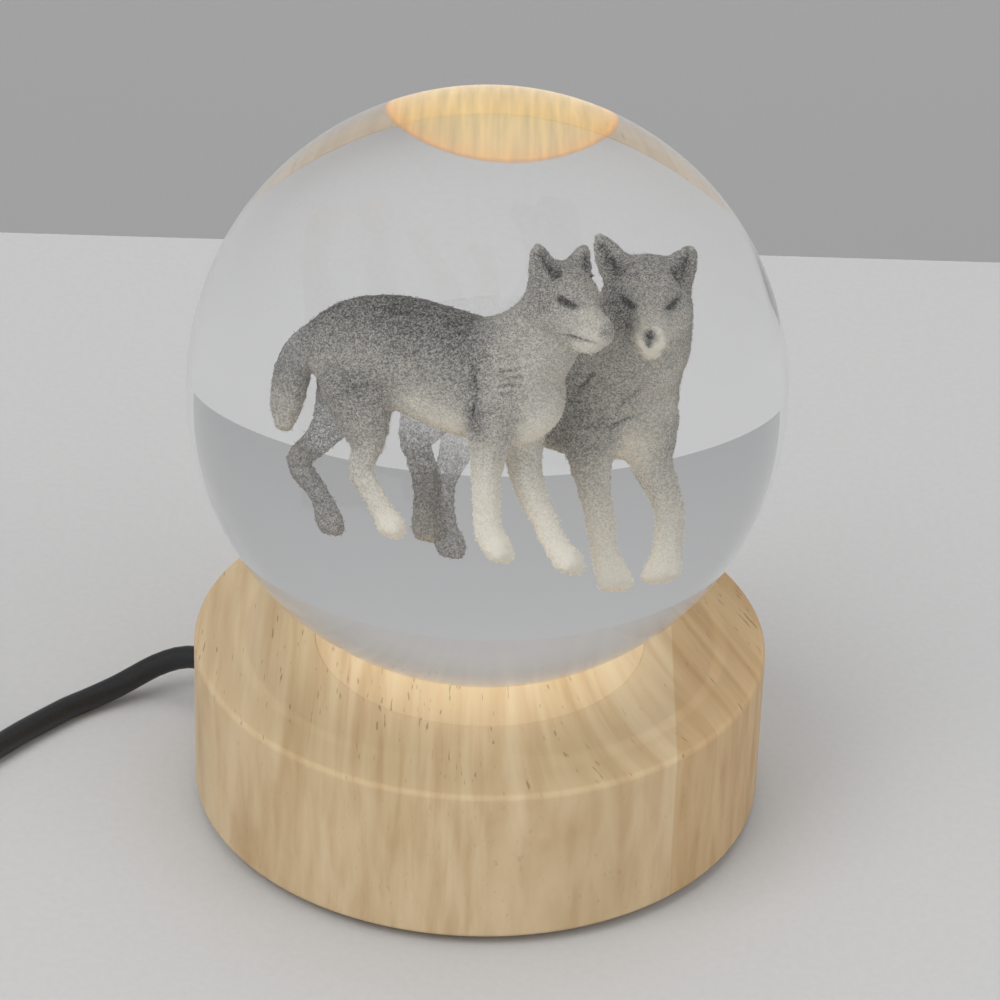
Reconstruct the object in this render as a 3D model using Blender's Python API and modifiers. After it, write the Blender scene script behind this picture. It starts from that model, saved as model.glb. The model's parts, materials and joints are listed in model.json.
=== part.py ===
"""Glass ball lamp: an engraved glass ball on a lit wooden base, with its cord, switch and plug.

Metres, +Z up. The origin is at the middle of the base, on the table. The front faces -Y.
"""

import math

import bmesh
import bpy
from mathutils import Euler, Matrix, Vector

# Fits
GAP = 0.0003  # between pieces that sit on or in each other
OVERRUN = 0.002  # how far a cutter runs past the face that it opens

# Ball
BALL_RADIUS = 0.040
BALL_SINK = 0.0010  # how far the ball's lowest point lies under the base's top
FIGURE_GAP = 0.0010  # round the engraved figures, in the hollows that stand for the marked glass
VENT_RADIUS = 0.0009  # channel from a hollow to the ball's foot
VENT_SPREAD = 0.0030  # from the ball's axis to where a channel comes out
FIGURE_TILT = math.radians(20)  # the figures lean back, as the ball lies in its seat
WOLF_LENGTH = 0.031  # nose to tail
WOLF_SLIM_SHARE = 0.65  # width of a wolf's sections as a share of their height
NEAR_WOLF_PLACE = (-0.0067, -0.0035, 0.0027)  # trunk's middle from the ball's: right, back, up
FAR_WOLF_PLACE = (0.0090, 0.0050, 0.0005)
FIGURE_GRID = 0.00055  # grid that joins limbs to a trunk
FIGURE_FACE_SHARE = 0.13  # of the grid's faces that are kept
HOLLOW_FACE_SHARE = 0.08

# Wooden base
FOOT_HEIGHT = 0.0013
WOOD_RADIUS = 0.0394
WOOD_HEIGHT = 0.0228
WOOD_EDGE = 0.0008
TOP_RIM = 0.0169  # from the outside to the shallow turned step round the ball's foot
RECESS_DEPTH = 0.0002
WELL_RADIUS = 0.0074
WELL_DEPTH = 0.0066
RIM_WALL = 0.0061  # wood outside the cover
COVER_LEDGE_WIDTH = 0.0073
POCKET_DEPTH = 0.0108  # above the cover's ledge

# Seat ring
SEAT_RING_RADIUS = 0.0086
SEAT_RING_WIRE = 0.0009

# Diffuser, board and lights
DIFFUSER_RADIUS = 0.0093
DIFFUSER_THICKNESS = 0.0016
BOARD_RADIUS = 0.0160
BOARD_THICKNESS = 0.0016
BOARD_SCREW_CIRCLE = 0.0128
BOARD_SCREW_COUNT = 3
LED_COUNT = 6
LED_CIRCLE = 0.0055
LED_LENGTH = 0.0035
LED_WIDTH = 0.0028
LED_HEIGHT = 0.0008
RESISTOR_LENGTH = 0.0032
RESISTOR_WIDTH = 0.0016
RESISTOR_HEIGHT = 0.0006
RESISTOR_CIRCLE = 0.0075

# Bottom cover and feet
COVER_THICKNESS = 0.0018
COVER_SCREW_COUNT = 3
COVER_SCREW_SINK = 0.0009  # counterbore in the cover
FOOT_RADIUS = 0.0045
FOOT_INSET = 0.0100  # from the cover's edge to a foot's middle
FOOT_COUNT = 4

# Screws
SCREW_SHANK = 0.0009
SCREW_HEAD = 0.0020
SCREW_HEAD_HEIGHT = 0.0012
CROSS_SPAN_SHARE = 1.3  # of the head's radius
CROSS_WIDTH_SHARE = 0.25  # of the head's radius
CROSS_DEPTH_SHARE = 0.8  # of the head's height
BOARD_SCREW_LENGTH = 0.0055
COVER_SCREW_LENGTH = 0.0075

# Cord where it enters the base
CORD_DIAMETER = 0.0033
CORD_HEIGHT = 0.0066
CORD_AZIMUTH = math.radians(155)
GROMMET_BODY = 0.0028
GROMMET_FLANGE = 0.0037
GROMMET_FLANGE_THICKNESS = 0.0012
GROMMET_LENGTH = 0.0055
TAIL_INSIDE = 0.0075  # length in the pocket
CABLE_TIE_RADIUS = 0.0029
CABLE_TIE_WIDTH = 0.0025
CABLE_TIE_HEAD = 0.0036
CABLE_TIE_HEAD_SPARE = 0.00025  # how far the head stands out past the strap's edge
WIRE_RADIUS = 0.0006
WIRE_SPACING = 0.0018
WIRE_REACH = 0.0065  # inwards from the tail's end
WIRE_BEND_SHARES = ((0, 0), (0.3, 0), (0.65, 0.08), (0.9, 0.35), (1, 0.7), (1, 1))  # inwards, up

# Cord outside the base: routes through points chosen by hand
CORD_RUN_ROUTE = (
    (-0.0376, 0.0175, 0.0066),
    (-0.0393, 0.0183, 0.0066),
    (-0.0412, 0.0191, 0.0064),
    (-0.0432, 0.0196, 0.0059),
    (-0.0452, 0.0196, 0.0052),
    (-0.0473, 0.0191, 0.0044),
    (-0.0495, 0.0181, 0.0035),
    (-0.0517, 0.0169, 0.0027),
    (-0.0540, 0.0156, 0.0021),
    (-0.0564, 0.0139, 0.0018),
    (-0.0588, 0.0118, 0.0018),
    (-0.0611, 0.0093, 0.0018),
    (-0.0643, 0.0057, 0.0018),
    (-0.0673, 0.0019, 0.0018),
    (-0.0703, -0.0022, 0.0018),
    (-0.0729, -0.0070, 0.0018),
    (-0.0747, -0.0125, 0.0018),
    (-0.0759, -0.0182, 0.0020),
    (-0.0777, -0.0233, 0.0027),
    (-0.0805, -0.0271, 0.0037),
    (-0.0838, -0.0288, 0.0044),
    (-0.0873, -0.0290, 0.0045),
    (-0.0885, -0.0290, 0.0045),
)
CORD_LINK_ROUTE = (
    (-0.1175, -0.0290, 0.0045),
    (-0.1190, -0.0290, 0.0045),
    (-0.1224, -0.0289, 0.0043),
    (-0.1263, -0.0282, 0.0037),
    (-0.1300, -0.0262, 0.0029),
    (-0.1328, -0.0228, 0.0022),
    (-0.1344, -0.0184, 0.0018),
    (-0.1350, -0.0130, 0.0018),
    (-0.1348, -0.0068, 0.0019),
    (-0.1337, -0.0003, 0.0022),
    (-0.1325, 0.0045, 0.0025),
    (-0.1320, 0.0078, 0.00255),
    (-0.1320, 0.0094, 0.00255),
)
CORD_TAIL_ROUTE = (
    (-0.1320, 0.0166, 0.0063),
    (-0.1320, 0.0182, 0.0063),
    (-0.1317, 0.0200, 0.0066),
    (-0.1306, 0.0222, 0.0071),
    (-0.1277, 0.0266, 0.0087),
    (-0.1237, 0.0301, 0.0098),
    (-0.1189, 0.0323, 0.0106),
    (-0.1152, 0.0334, 0.0112),
    (-0.1116, 0.0333, 0.0117),
    (-0.1084, 0.0317, 0.0120),
    (-0.1061, 0.0291, 0.0121),
    (-0.10445, 0.0262, 0.0121),
)
CORD_STEP_SHARE = 1.5  # diameters between the points of a tube

# Coil of the length that the photo doesn't show
COIL_CENTRE = (-0.1060, 0.0130)
COIL_PITCH = 0.00375
COIL_INNER_RADIUS = 0.0110
COIL_TURNS = 4  # on each layer
COIL_POINTS = 24  # on each turn
COIL_START = math.pi
CLIMB_SHARE = 0.5  # of a turn, where the spiral reverses
TIE_AZIMUTH = math.radians(235)
TIE_WIDTH = 0.0040
TIE_THICKNESS = 0.0006
TIE_SLACK = 0.0007  # from the turns to the tie's walls

# Switch on the cord
SWITCH_CENTRE = (-0.1030, -0.0290)
SWITCH_LENGTH = 0.0340
SWITCH_WIDTH = 0.0130
SWITCH_HEIGHT = 0.0090
SWITCH_WALL = 0.0012
SWITCH_END = 0.0070  # solid block at each end
SWITCH_EDGE = 0.0012
SWITCH_SCREW_PLACE = (0.0132, 0.0040)  # along and across
SWITCH_SCREW_SHANK = 0.0007
SWITCH_SCREW_HEAD = 0.0013
SWITCH_SCREW_HEAD_HEIGHT = 0.0008
SWITCH_SCREW_LENGTH = 0.0062
SWITCH_SCREW_SINK = 0.0014
BUTTON_LENGTH = 0.0080
BUTTON_WIDTH = 0.0050
BUTTON_RISE = 0.0014
BUTTON_FLANGE = 0.0010
BUTTON_FLANGE_THICKNESS = 0.0008
BUTTON_TRAVEL = 0.0010
LEAF_LENGTH = 0.0140
LEAF_WIDTH = 0.0030
LEAF_THICKNESS = 0.0003
LEAF_RISE = 0.0008
STRIP_LENGTH = 0.0055
STRIP_WIDTH = 0.0030
STRIP_THICKNESS = 0.0005
STRIP_PLACE = 0.0066  # along the switch

# Plug
PLUG_HEADING = math.radians(-60)
GRIP_LENGTH = 0.0200
GRIP_WIDTH = 0.0150
GRIP_HEIGHT = 0.0076
GRIP_EDGE = 0.0014
RELIEF_LENGTH = 0.0060
RELIEF_WIDE = 0.0030
RELIEF_SLIM = 0.0022
SHELL_LENGTH = 0.0160
SHELL_SEATED = 0.0050
SHELL_WIDTH = 0.0120
SHELL_HEIGHT = 0.0045
SHELL_WALL = 0.0004
TONGUE_LENGTH = 0.0120
TONGUE_BLOCK = 0.0040
TONGUE_THICKNESS = 0.0014
CONTACT_COUNT = 4
CONTACT_LENGTH = 0.0060
CONTACT_WIDTH = 0.0010
CONTACT_THICKNESS = 0.0003
CONTACT_SPACING = 0.0023

# Places that follow from the sizes
WOOD_BOTTOM = FOOT_HEIGHT
WOOD_TOP = WOOD_BOTTOM + WOOD_HEIGHT
RECESS_RADIUS = WOOD_RADIUS - TOP_RIM
COVER_RECESS = WOOD_RADIUS - RIM_WALL
COVER_RADIUS = COVER_RECESS - GAP
POCKET_RADIUS = COVER_RECESS - COVER_LEDGE_WIDTH
COVER_SCREW_CIRCLE = POCKET_RADIUS + COVER_LEDGE_WIDTH / 2
FOOT_CIRCLE = COVER_RADIUS - FOOT_INSET
TAIL_INNER_END = POCKET_RADIUS - TAIL_INSIDE
RECESS_FLOOR = WOOD_TOP - RECESS_DEPTH
BALL_HEIGHT = WOOD_TOP + BALL_RADIUS - BALL_SINK
SEAT_REACH = BALL_RADIUS + GAP + SEAT_RING_WIRE
SEAT_RING_HEIGHT = BALL_HEIGHT - math.sqrt(SEAT_REACH**2 - SEAT_RING_RADIUS**2)
REBATE_RADIUS = SEAT_RING_RADIUS + SEAT_RING_WIRE + GAP
REBATE_FLOOR = SEAT_RING_HEIGHT - SEAT_RING_WIRE - GAP
LEDGE = WOOD_TOP - WELL_DEPTH
COVER_BOTTOM = FOOT_HEIGHT + GAP
COVER_TOP = COVER_BOTTOM + COVER_THICKNESS
COVER_LEDGE = COVER_TOP + GAP
POCKET_TOP = COVER_LEDGE + POCKET_DEPTH
BOARD_TOP = POCKET_TOP - GAP
BOARD_BOTTOM = BOARD_TOP - BOARD_THICKNESS
CORD_RADIUS = CORD_DIAMETER / 2
CORD_HOLE = CORD_RADIUS + GAP
GROMMET_SEAT = WOOD_RADIUS - GROMMET_LENGTH
GROMMET_FACE = WOOD_RADIUS + GAP + GROMMET_FLANGE_THICKNESS
COIL_OUTER_RADIUS = COIL_INNER_RADIUS + COIL_TURNS * COIL_PITCH
COIL_LOWER = TIE_THICKNESS + GAP + CORD_RADIUS
COIL_UPPER = COIL_LOWER + COIL_PITCH
SCREW_HOLE = SCREW_SHANK + GAP
SWITCH_SPLIT = SWITCH_HEIGHT / 2
SWITCH_CEILING = SWITCH_HEIGHT - SWITCH_WALL
SWITCH_ROOM = (
    SWITCH_LENGTH - 2 * SWITCH_END,
    SWITCH_WIDTH - 2 * SWITCH_WALL,
    SWITCH_HEIGHT - 2 * SWITCH_WALL,
)
FLANGE_TOP = SWITCH_CEILING - GAP
FLANGE_BOTTOM = FLANGE_TOP - BUTTON_FLANGE_THICKNESS
LEAF_TOP = FLANGE_BOTTOM - GAP
STRIP_TOP = LEAF_TOP - LEAF_THICKNESS - LEAF_RISE - BUTTON_TRAVEL - GAP
STRIP_BOTTOM = STRIP_TOP - STRIP_THICKNESS
MERGE = 0.00001  # points nearer than this are one

BALL_SIDES = 44
ROUND_SIDES = 48  # sides of a large turned piece
SMALL_SIDES = 20  # sides of a small one


def clear_scene():
    """Removes what the file holds."""
    for old in list(bpy.data.objects):
        bpy.data.objects.remove(old)


def new_collection(name):
    found = bpy.data.collections.new(name)
    bpy.context.scene.collection.children.link(found)
    return found


clear_scene()
PARTS = new_collection("glass_ball_lamp")
CUTTERS = new_collection("cutters")


def material(name, colour, roughness, metallic=0.0, transmission=0.0):
    """A Principled BSDF with the part's own finish."""
    made = bpy.data.materials.new(name)
    made.use_nodes = True
    shader = made.node_tree.nodes["Principled BSDF"]
    shader.inputs["Base Color"].default_value = (*colour, 1.0)
    shader.inputs["Roughness"].default_value = roughness
    shader.inputs["Metallic"].default_value = metallic
    shader.inputs["Transmission Weight"].default_value = transmission
    made.diffuse_color = (*colour, 1.0)
    return made


GLASS = material("clear_glass", (0.96, 0.98, 1.0), 0.0, transmission=1.0)
MARKS = material("engraved_marks", (0.85, 0.83, 0.78), 0.6)
WOOD = material("pale_wood", (0.72, 0.54, 0.34), 0.55)
SILICONE = material("clear_silicone", (0.85, 0.86, 0.84), 0.4)
FROSTED = material("frosted_plastic", (0.92, 0.90, 0.84), 0.5)
BOARD = material("white_board", (0.80, 0.82, 0.80), 0.4)
PHOSPHOR = material("led_phosphor", (0.95, 0.80, 0.25), 0.35)
CHIP = material("chip_black", (0.04, 0.04, 0.045), 0.4)
STEEL = material("zinc_steel", (0.62, 0.62, 0.62), 0.3, metallic=1.0)
BRASS = material("brass", (0.80, 0.62, 0.28), 0.3, metallic=1.0)
BLACK_PLASTIC = material("black_plastic", (0.02, 0.02, 0.022), 0.35)
BLACK_RUBBER = material("black_rubber", (0.025, 0.025, 0.027), 0.7)
CORD_SKIN = material("cord_skin", (0.02, 0.02, 0.022), 0.5)
RED_SKIN = material("red_skin", (0.55, 0.03, 0.02), 0.45)
NYLON = material("natural_nylon", (0.80, 0.79, 0.74), 0.4)


def place(obj, at=(0, 0, 0), turn=(0, 0, 0), parent=None):
    obj.location = at
    obj.rotation_euler = turn
    obj.parent = parent
    return obj


def empty(name, at, turn=(0, 0, 0), parent=None):
    """A frame that pieces hang on."""
    made = bpy.data.objects.new(name, None)
    PARTS.objects.link(made)
    return place(made, at, turn, parent)


def keep(name, data, finish):
    """Links a mesh or curve as a piece, or as a cutter where it has no finish."""
    made = bpy.data.objects.new(name, data)
    if finish:
        data.materials.append(finish)
        PARTS.objects.link(made)
    else:
        made.display_type = "WIRE"
        made.hide_render = True
        CUTTERS.objects.link(made)
    return made


def from_bmesh(name, shape, finish, smooth=True):
    data = bpy.data.meshes.new(name)
    shape.to_mesh(data)
    shape.free()
    if smooth:
        data.shade_smooth()
        data.set_sharp_from_angle(angle=math.radians(40))
    return keep(name, data, finish)


def box(name, size, finish, edge=0.0, centre=(0, 0, 0), segments=2):
    """A block, with its edges rounded where edge is given."""
    shape = bmesh.new()
    bmesh.ops.create_cube(shape, size=1.0, matrix=Matrix.Translation(centre) @ Matrix.Diagonal((*size, 1)))
    made = from_bmesh(name, shape, finish)
    if edge:
        bevel = made.modifiers.new("edges", "BEVEL")
        bevel.width = edge
        bevel.segments = segments
    return made


def rod(name, radius, length, finish, centre=(0, 0, 0), turn=None, sides=SMALL_SIDES, radius_top=None):
    """A cylinder or cone along Z, or along what turn makes of Z."""
    spin = Matrix.Translation(centre)
    if turn:
        spin = spin @ Euler(turn).to_matrix().to_4x4()
    shape = bmesh.new()
    bmesh.ops.create_cone(
        shape, cap_ends=True, segments=sides, radius1=radius,
        radius2=radius if radius_top is None else radius_top, depth=length, matrix=spin,
    )
    return from_bmesh(name, shape, finish)


def turned(name, profile, finish, sides=ROUND_SIDES, closed=False):
    """A profile of (radius, height) turned round Z. It runs down its outer side."""
    data = bpy.data.meshes.new(name)
    count = len(profile)
    edges = [(i, i + 1) for i in range(count - 1)] + ([(count - 1, 0)] if closed else [])
    data.from_pydata([(r, 0, z) for r, z in profile], edges, [])
    made = keep(name, data, finish)
    screw = made.modifiers.new("turn", "SCREW")
    screw.angle = math.tau
    screw.steps = screw.render_steps = sides
    screw.use_merge_vertices = True
    screw.merge_threshold = MERGE
    screw.use_smooth_shade = True
    return made


def arc(centre, radius, start, end, steps):
    """Points of an arc in a profile, from one angle to another."""
    turns = [start + (end - start) * i / steps for i in range(steps + 1)]
    return [(centre[0] + radius * math.cos(a), centre[1] + radius * math.sin(a)) for a in turns]


def cut(piece, cutter, name="cut"):
    """Takes the cutter's shape out of a piece."""
    found = piece.modifiers.new(name, "BOOLEAN")
    found.operation = "DIFFERENCE"
    found.solver = "EXACT"
    found.object = cutter
    return piece


def join(piece, other):
    """Adds another shape to a piece, as one body."""
    found = piece.modifiers.new("join", "BOOLEAN")
    found.operation = "UNION"
    found.solver = "EXACT"
    found.object = other
    return piece


def round_steps(count, start=0.0):
    return [start + math.tau * i / count for i in range(count)]


def polar(radius, angle, height=0.0):
    return (radius * math.cos(angle), radius * math.sin(angle), height)


def smooth_line(points, step):
    """Evenly spaced points of the smooth curve through a route. Its tuples may hold more than a place."""
    rows = [Vector(p) for p in points]
    rows = [rows[0] * 2 - rows[1]] + rows + [rows[-1] * 2 - rows[-2]]
    fine = []
    for a, b, c, d in zip(rows, rows[1:], rows[2:], rows[3:]):
        slope = c - a
        square = 2 * a - 5 * b + 4 * c - d
        cube = 3 * b - a - 3 * c + d
        for i in range(12):
            t = i / 12
            fine.append(b + 0.5 * (slope * t + square * t**2 + cube * t**3))
    fine.append(rows[-2])
    along = [0.0]
    for a, b in zip(fine, fine[1:]):
        along.append(along[-1] + (b - a).length)
    count = max(2, round(along[-1] / step))
    line, k = [], 0
    for i in range(count + 1):
        want = along[-1] * i / count
        while k < len(fine) - 2 and along[k + 1] < want:
            k += 1
        share = (want - along[k]) / (along[k + 1] - along[k])
        line.append(fine[k].lerp(fine[k + 1], min(1.0, share)))
    return line


def tube(name, points, radius, finish, resolution=2):
    """A round tube along points."""
    data = bpy.data.curves.new(name, "CURVE")
    data.dimensions = "3D"
    data.bevel_depth = radius
    data.bevel_resolution = resolution
    data.use_fill_caps = True
    line = data.splines.new("POLY")
    line.points.add(len(points) - 1)
    for i, p in enumerate(points):
        line.points[i].co = (p[0], p[1], p[2], 1.0)
    line.use_smooth = True
    return keep(name, data, finish)


def meshed(curve):
    """The curve object as a mesh object with welded caps."""
    view = bpy.context.evaluated_depsgraph_get()
    data = bpy.data.meshes.new_from_object(curve.evaluated_get(view))
    shape = bmesh.new()
    shape.from_mesh(data)
    bmesh.ops.remove_doubles(shape, verts=shape.verts, dist=MERGE / 10)
    shape.to_mesh(data)
    shape.free()
    name, homes, hidden = curve.name, curve.users_collection, curve.hide_render
    bpy.data.objects.remove(curve)
    made = bpy.data.objects.new(name, data)
    for home in homes:
        home.objects.link(made)
    made.hide_render = hidden
    made.display_type = "WIRE" if hidden else "TEXTURED"
    return made


# Wolves' stations: right, towards the viewer, up, radius, as shares of WOLF_LENGTH from the trunk's middle
NEAR_WOLF_SHARES = {
    "trunk": (
        (-0.26, -0.094, 0.01, 0.075), (-0.19, -0.068, 0.02, 0.135), (-0.10, -0.036, 0.03, 0.15),
        (0.02, 0.007, 0.005, 0.165), (0.13, 0.047, -0.02, 0.17), (0.23, 0.083, -0.05, 0.175),
        (0.31, 0.112, -0.08, 0.14), (0.35, 0.126, -0.11, 0.09),
    ),
    "neck": (
        (0.24, 0.086, 0.0, 0.15), (0.325, 0.117, 0.075, 0.125), (0.39, 0.14, 0.15, 0.105),
        (0.43, 0.155, 0.195, 0.09),
    ),
    "head": (
        (0.43, 0.155, 0.21, 0.085), (0.48, 0.173, 0.185, 0.075), (0.51, 0.184, 0.115, 0.06),
        (0.54, 0.194, 0.08, 0.045), (0.555, 0.2, 0.075, 0.03),
    ),
    "near_ear": ((0.37, 0.15, 0.19, 0.06), (0.345, 0.165, 0.26, 0.045), (0.33, 0.175, 0.33, 0.022)),
    "far_ear": ((0.45, 0.145, 0.22, 0.05), (0.475, 0.13, 0.28, 0.038), (0.49, 0.125, 0.32, 0.022)),
    "tail": (
        (-0.27, -0.098, 0.09, 0.045), (-0.33, -0.118, 0.035, 0.055), (-0.36, -0.13, -0.06, 0.055),
        (-0.375, -0.135, -0.14, 0.045), (-0.375, -0.135, -0.19, 0.025),
    ),
    "near_hind_leg": (
        (-0.165, 0.005, -0.085, 0.105), (-0.13, 0.018, -0.19, 0.06), (-0.13, 0.018, -0.25, 0.042),
        (-0.155, 0.009, -0.31, 0.036), (-0.13, 0.018, -0.365, 0.033), (-0.09, 0.033, -0.43, 0.033),
        (-0.065, 0.042, -0.48, 0.034), (-0.04, 0.05, -0.49, 0.028),
    ),
    "far_hind_leg": (
        (-0.17, -0.10, -0.02, 0.10), (-0.21, -0.135, -0.12, 0.085), (-0.26, -0.158, -0.20, 0.05),
        (-0.31, -0.176, -0.275, 0.036), (-0.30, -0.173, -0.33, 0.033), (-0.26, -0.158, -0.41, 0.032),
        (-0.235, -0.15, -0.465, 0.032),
    ),
    "near_front_leg": (
        (0.235, 0.15, -0.12, 0.09), (0.21, 0.14, -0.235, 0.055), (0.205, 0.139, -0.325, 0.042),
        (0.21, 0.14, -0.415, 0.038), (0.225, 0.146, -0.49, 0.038), (0.27, 0.162, -0.54, 0.032),
    ),
    "far_front_leg": (
        (0.30, 0.045, -0.185, 0.065), (0.32, 0.05, -0.285, 0.05), (0.355, 0.063, -0.39, 0.042),
        (0.39, 0.075, -0.49, 0.038), (0.415, 0.085, -0.55, 0.036), (0.47, 0.104, -0.585, 0.03),
    ),
}
FAR_WOLF_SHARES = {
    "trunk": (
        (-0.49, -0.12, -0.015, 0.08), (-0.43, -0.11, 0.015, 0.14), (-0.32, -0.08, 0.025, 0.175),
        (-0.21, -0.04, 0.015, 0.185), (-0.09, 0.0, 0.0, 0.195), (0.02, 0.03, -0.03, 0.19),
        (0.08, 0.05, -0.045, 0.165),
    ),
    "neck": ((0.03, 0.04, 0.055, 0.16), (0.085, 0.07, 0.14, 0.145), (0.13, 0.09, 0.19, 0.12)),
    "head": ((0.135, 0.09, 0.22, 0.09), (0.137, 0.14, 0.16, 0.06), (0.137, 0.19, 0.105, 0.045)),
    "near_ear": ((0.04, 0.075, 0.21, 0.07), (0.005, 0.07, 0.29, 0.045), (0.0, 0.07, 0.345, 0.022)),
    "far_ear": ((0.17, 0.08, 0.23, 0.055), (0.205, 0.075, 0.275, 0.045), (0.22, 0.07, 0.32, 0.022)),
    "tail": (
        (-0.52, -0.13, 0.03, 0.045), (-0.56, -0.14, -0.06, 0.05), (-0.57, -0.15, -0.15, 0.04),
        (-0.565, -0.15, -0.22, 0.025),
    ),
    "near_hind_leg": (
        (-0.36, -0.02, -0.155, 0.07), (-0.40, -0.03, -0.27, 0.036), (-0.42, -0.03, -0.345, 0.03),
        (-0.41, -0.03, -0.44, 0.03), (-0.39, -0.02, -0.485, 0.028),
    ),
    "far_hind_leg": (
        (-0.42, -0.13, -0.03, 0.09), (-0.46, -0.17, -0.12, 0.07), (-0.49, -0.18, -0.185, 0.045),
        (-0.475, -0.17, -0.275, 0.034), (-0.46, -0.17, -0.37, 0.032), (-0.46, -0.17, -0.435, 0.032),
    ),
    "near_front_leg": (
        (-0.04, 0.08, -0.155, 0.085), (-0.03, 0.09, -0.255, 0.055), (-0.008, 0.09, -0.37, 0.045),
        (0.01, 0.10, -0.47, 0.045), (0.035, 0.11, -0.535, 0.04), (0.055, 0.12, -0.555, 0.032),
    ),
    "far_front_leg": (
        (0.11, 0.02, -0.155, 0.085), (0.135, 0.02, -0.255, 0.055), (0.16, 0.03, -0.355, 0.043),
        (0.16, 0.04, -0.445, 0.043), (0.155, 0.05, -0.51, 0.042), (0.147, 0.06, -0.53, 0.036),
    ),
}
LIMB_STEP_SHARE = 0.05  # between a limb's sections
SMOOTHING_COUNT = 2


def beyond(inner, end, spare):
    """The end section of a limb, moved outwards."""
    way = (end - inner).xyz.normalized() * spare
    return Vector((*(end.xyz + way), end.w))


def wolf(name, limbs, parent, growth, face_share, finish):
    """One closed body from the limbs' tapering tubes, in the frame of the figure."""
    data = bpy.data.curves.new(name, "CURVE")
    data.dimensions = "3D"
    data.bevel_depth = WOLF_LENGTH
    data.bevel_resolution = 2
    data.use_fill_caps = True
    spare = growth / WOLF_LENGTH
    for stations in limbs.values():
        sections = smooth_line(stations, LIMB_STEP_SHARE)
        first = beyond(sections[1], sections[0], spare)
        last = beyond(sections[-2], sections[-1], spare)
        sections = [first, *sections[1:-1], last]
        line = data.splines.new("POLY")
        line.points.add(len(sections) - 1)
        for i, (right, near, up, radius) in enumerate(sections):
            back = -near * WOLF_LENGTH / WOLF_SLIM_SHARE
            line.points[i].co = (right * WOLF_LENGTH, back, up * WOLF_LENGTH, 1.0)
            line.points[i].radius = radius + spare
    body = meshed(keep(name, data, finish))
    body.data.transform(Matrix.Diagonal((1, WOLF_SLIM_SHARE, 1, 1)))
    grid = body.modifiers.new("one body", "REMESH")
    grid.mode = "VOXEL"
    grid.voxel_size = FIGURE_GRID
    soften = body.modifiers.new("soften", "SMOOTH")
    soften.iterations = SMOOTHING_COUNT
    thin = body.modifiers.new("fewer faces", "DECIMATE")
    thin.ratio = face_share
    return place(body, parent=parent)


def link(name, start, end, radius, finish, parent=None, sides=SMALL_SIDES):
    """A round bar from one point to another."""
    way = Vector(end) - Vector(start)
    made = rod(name, radius, way.length, finish, sides=sides)
    made.rotation_mode = "QUATERNION"
    made.rotation_quaternion = Vector((0, 0, 1)).rotation_difference(way)
    made.location = (Vector(start) + Vector(end)) / 2
    made.parent = parent
    return made


def make_ball():
    """The ball on its lifting axis, with the engraved figures in hollows of their own."""
    centre = empty("ball_axis", (0, 0, BALL_HEIGHT))
    lean = Euler((-FIGURE_TILT, 0, 0)).to_matrix()
    shape = bmesh.new()
    bmesh.ops.create_uvsphere(shape, u_segments=BALL_SIDES, v_segments=BALL_SIDES // 2, radius=BALL_RADIUS)
    ball = place(from_bmesh("glass_ball", shape, GLASS), parent=centre)
    figures = (
        ("near_wolf", NEAR_WOLF_SHARES, NEAR_WOLF_PLACE, -1),
        ("far_wolf", FAR_WOLF_SHARES, FAR_WOLF_PLACE, 1),
    )
    for name, limbs, at, side in figures:
        frame = empty(name + "_frame", lean @ Vector(at), (-FIGURE_TILT, 0, 0), centre)
        wolf(name, limbs, frame, 0, FIGURE_FACE_SHARE, MARKS)
        cut(ball, wolf(name + "_hollow", limbs, frame, FIGURE_GAP, HOLLOW_FACE_SHARE, None))
        right, near, up, _ = limbs["near_front_leg"][-2]
        paw = lean @ (Vector(at) + WOLF_LENGTH * Vector((right, -near, up)))
        outlet = Vector((0, side * VENT_SPREAD, -BALL_RADIUS - OVERRUN))
        cut(ball, link(name + "_vent", paw, outlet, VENT_RADIUS, None, centre, sides=8))


def make_seat_ring():
    profile = arc((SEAT_RING_RADIUS, 0), SEAT_RING_WIRE, math.pi / 2, math.pi / 2 - math.tau, 6)[:-1]
    place(turned("seat_ring", profile, SILICONE, sides=32, closed=True), (0, 0, SEAT_RING_HEIGHT))


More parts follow.
